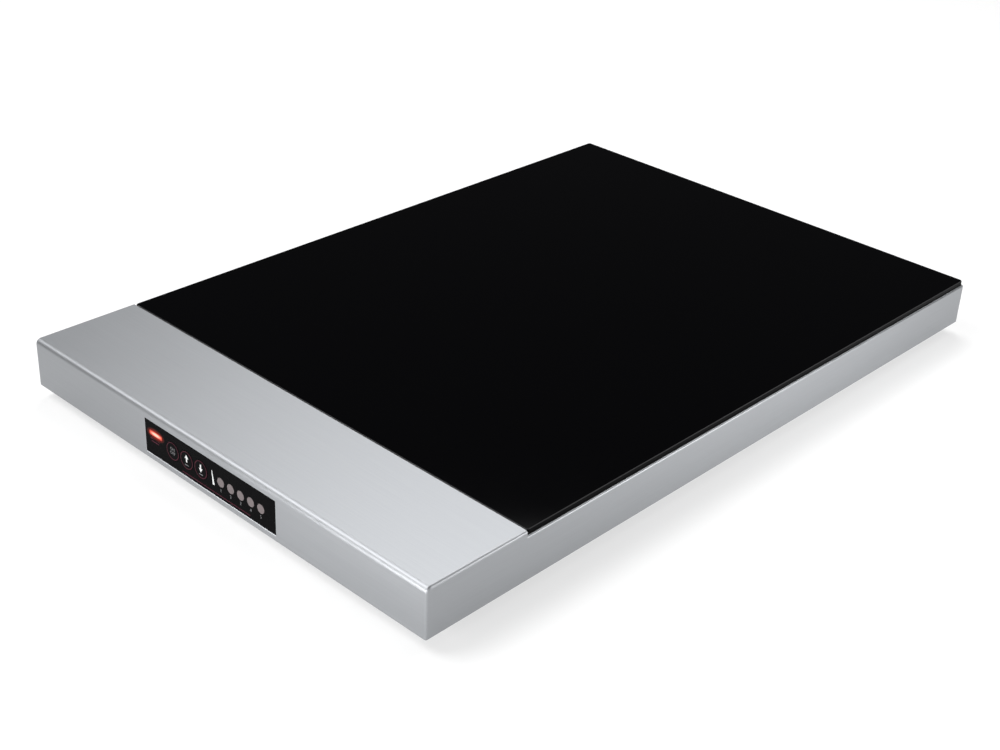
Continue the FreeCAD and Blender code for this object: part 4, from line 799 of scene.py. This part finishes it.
def pan_head_screw(radius, height, shank_radius, shank_length):
    """A screw that hangs head down from the origin; its sizes are in mm."""
    deselect()
    bpy.ops.mesh.primitive_cylinder_add(vertices=HEAD_SIDES, radius=radius * MM, depth=height * MM,
                                        location=(0, 0, -height * MM / 2))
    screw = named("screw")
    leave(screw)
    choose(screw, "EDGE", lambda edge: all(vertex.co.z < -height * MM * 0.9 for vertex in edge.verts))
    bpy.ops.mesh.bevel(offset=height * HEAD_ROUNDING * MM, segments=3)
    choose(screw, "FACE", lambda face: face.normal.z > 0.9)
    bpy.ops.mesh.inset(thickness=(radius - shank_radius) * MM)
    bpy.ops.mesh.extrude_region_move(TRANSFORM_OT_translate={"value": (0, 0, shank_length * MM)})
    leave(screw)
    for size in ((CROSS_LENGTH, CROSS_WIDTH), (CROSS_WIDTH, CROSS_LENGTH)):
        deselect()
        bpy.ops.mesh.primitive_cube_add(size=1, location=(0, 0, -height * MM))
        bar = bpy.context.object
        bar.scale = Vector((size[0] * radius, size[1] * radius, CROSS_DEPTH * 2 * height)) * MM
        leave(bar)
        leave(screw)
        bpy.ops.object.modifier_add(type="BOOLEAN")
        screw.modifiers[-1].operation = "DIFFERENCE"
        screw.modifiers[-1].object = bar
        bpy.ops.object.modifier_apply(modifier=screw.modifiers[-1].name)
        bpy.data.objects.remove(bar)
    bpy.ops.object.shade_smooth_by_angle(angle=BEND_ANGLE)
    return screw


def screw_set(set_name, node_name, screw, places):
    """Copies of a screw at some points in mm, joined to one piece that takes a solid's place."""
    copies = [copy_to(screw, set_name, Vector(place) * MM) for place in places]
    bpy.data.objects.remove(screw)
    deselect()
    for each in copies:
        each.select_set(True)
    bpy.context.view_layer.objects.active = copies[0]
    bpy.ops.object.join()
    joined = named(set_name)
    wear(joined, FINISHES["steel_fastener"])
    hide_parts(node_name)
    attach(joined, "warmer")
    print(set_name + ":", len(places), "screws,", len(joined.data.polygons), "faces")


BASE_UNDER = 10.0
RECESS_END = 5.5
LONG_SIDES = [(x, y) for x in (-244, 244) for y in (-246, 0, 246)]
SHORT_SIDES = [(x, y) for x in (-122, 122) for y in (-369, 369)]
BULKHEAD_FOOT = [(x, -274.5) for x in (-170, 170)]
screw_set("base_cross_screws", "base_screws", pan_head_screw(2.6, 1.8, 1.4, 5.0),
          [(x, y, BASE_UNDER) for x, y in LONG_SIDES + SHORT_SIDES + BULKHEAD_FOOT])
screw_set("foot_cross_screws", "foot_screws", pan_head_screw(3.6, 2.4, 1.9, 9.7),
          [(foot_axis.x / MM, foot_axis.y / MM, RECESS_END) for foot_axis in map(axis_of, FEET)])

# %% [markdown]
# ## Studio
#
# A plain pale floor runs past the picture on all sides. Its own light is only for the camera and for
# what gloss and glass show, so the background is white and the floor still takes the tray's shadow.

# %% Floor
FLOOR_SIZE = 40.0
FLOOR_LIFT = 0.58

deselect()
bpy.ops.mesh.primitive_plane_add(size=FLOOR_SIZE, location=(0, 0, 0))
floor = named("floor")
leave(floor)
paper, tree, shader = finish_of("matt_white_paper", {"Base Color": linear("A8A8A8"), "Roughness": 1.0,
                                                     "Specular IOR Level": 0.0})
ray = add(tree, "LightPath")
seen = add(tree, "Math", {"operation": "MAXIMUM"},
           {0: ray.outputs["Is Camera Ray"], 1: ray.outputs["Is Glossy Ray"]})
seen = add(tree, "Math", {"operation": "MAXIMUM"},
           {0: seen.outputs[0], 1: ray.outputs["Is Transmission Ray"]})
lift = add(tree, "Math", {"operation": "MULTIPLY", 1: FLOOR_LIFT}, {0: seen.outputs[0]})
tree.links.new(lift.outputs[0], shader.inputs["Emission Strength"])
shader.inputs["Emission Color"].default_value = linear("FFFFFF")
wear(floor, paper)
print("floor:", FLOOR_SIZE, "m square")

# %% [markdown]
# Satin steel shows its lamps as wide soft patches, so it is lit by what it mirrors. Three large soft
# boxes stand where the deck, the front bend and the side bend mirror them. Two low strips light the front
# wall and the side wall, a box lights the corner between them, and the world fills in a little. These
# three stand low, so the picture has no glare from them, but from low behind the glass mirrors them.

# %% Lights
WORLD_STRENGTH = 0.08

world = bpy.data.worlds.new("studio")
bpy.context.scene.world = world
world.use_nodes = True
world.node_tree.nodes["Background"].inputs["Color"].default_value = linear("FFFFFF")
world.node_tree.nodes["Background"].inputs["Strength"].default_value = WORLD_STRENGTH


def soft_box(name, place, aim, width, height, power):
    """A soft box: an area light that faces a point and that the camera doesn't see."""
    deselect()
    bpy.ops.object.light_add(type="AREA", location=place)
    light = bpy.context.object
    light.name = name
    light.data.shape = "RECTANGLE"
    light.data.size, light.data.size_y = width, height
    light.data.energy = power
    light.rotation_euler = (Vector(aim) - Vector(place)).to_track_quat("-Z", "Y").to_euler()
    light.visible_camera = False


soft_box("deck_box", (-0.84, 0.96, 2.04), (0, 0, 0), 1.5, 1.5, 37)
soft_box("front_bend_box", (-1.0, -1.2, 1.9), (0, 0, 0), 1.4, 1.4, 43)
soft_box("side_bend_box", (0.6, 1.55, 1.75), (0, 0, 0), 0.9, 0.9, 12)
soft_box("front_wall_strip", (0.12, -0.8, 0.1), (0.12, -0.375, 0.03), 0.45, 0.14, 2.3)
soft_box("side_wall_strip", (0.7, 0.22, 0.1), (0.25, 0.05, 0.03), 0.5, 0.14, 2.3)
soft_box("corner_box", (1.35, -1.35, 0.22), (0.25, -0.375, 0.03), 0.6, 0.4, 10)

bpy.context.scene.view_settings.view_transform = "Standard"
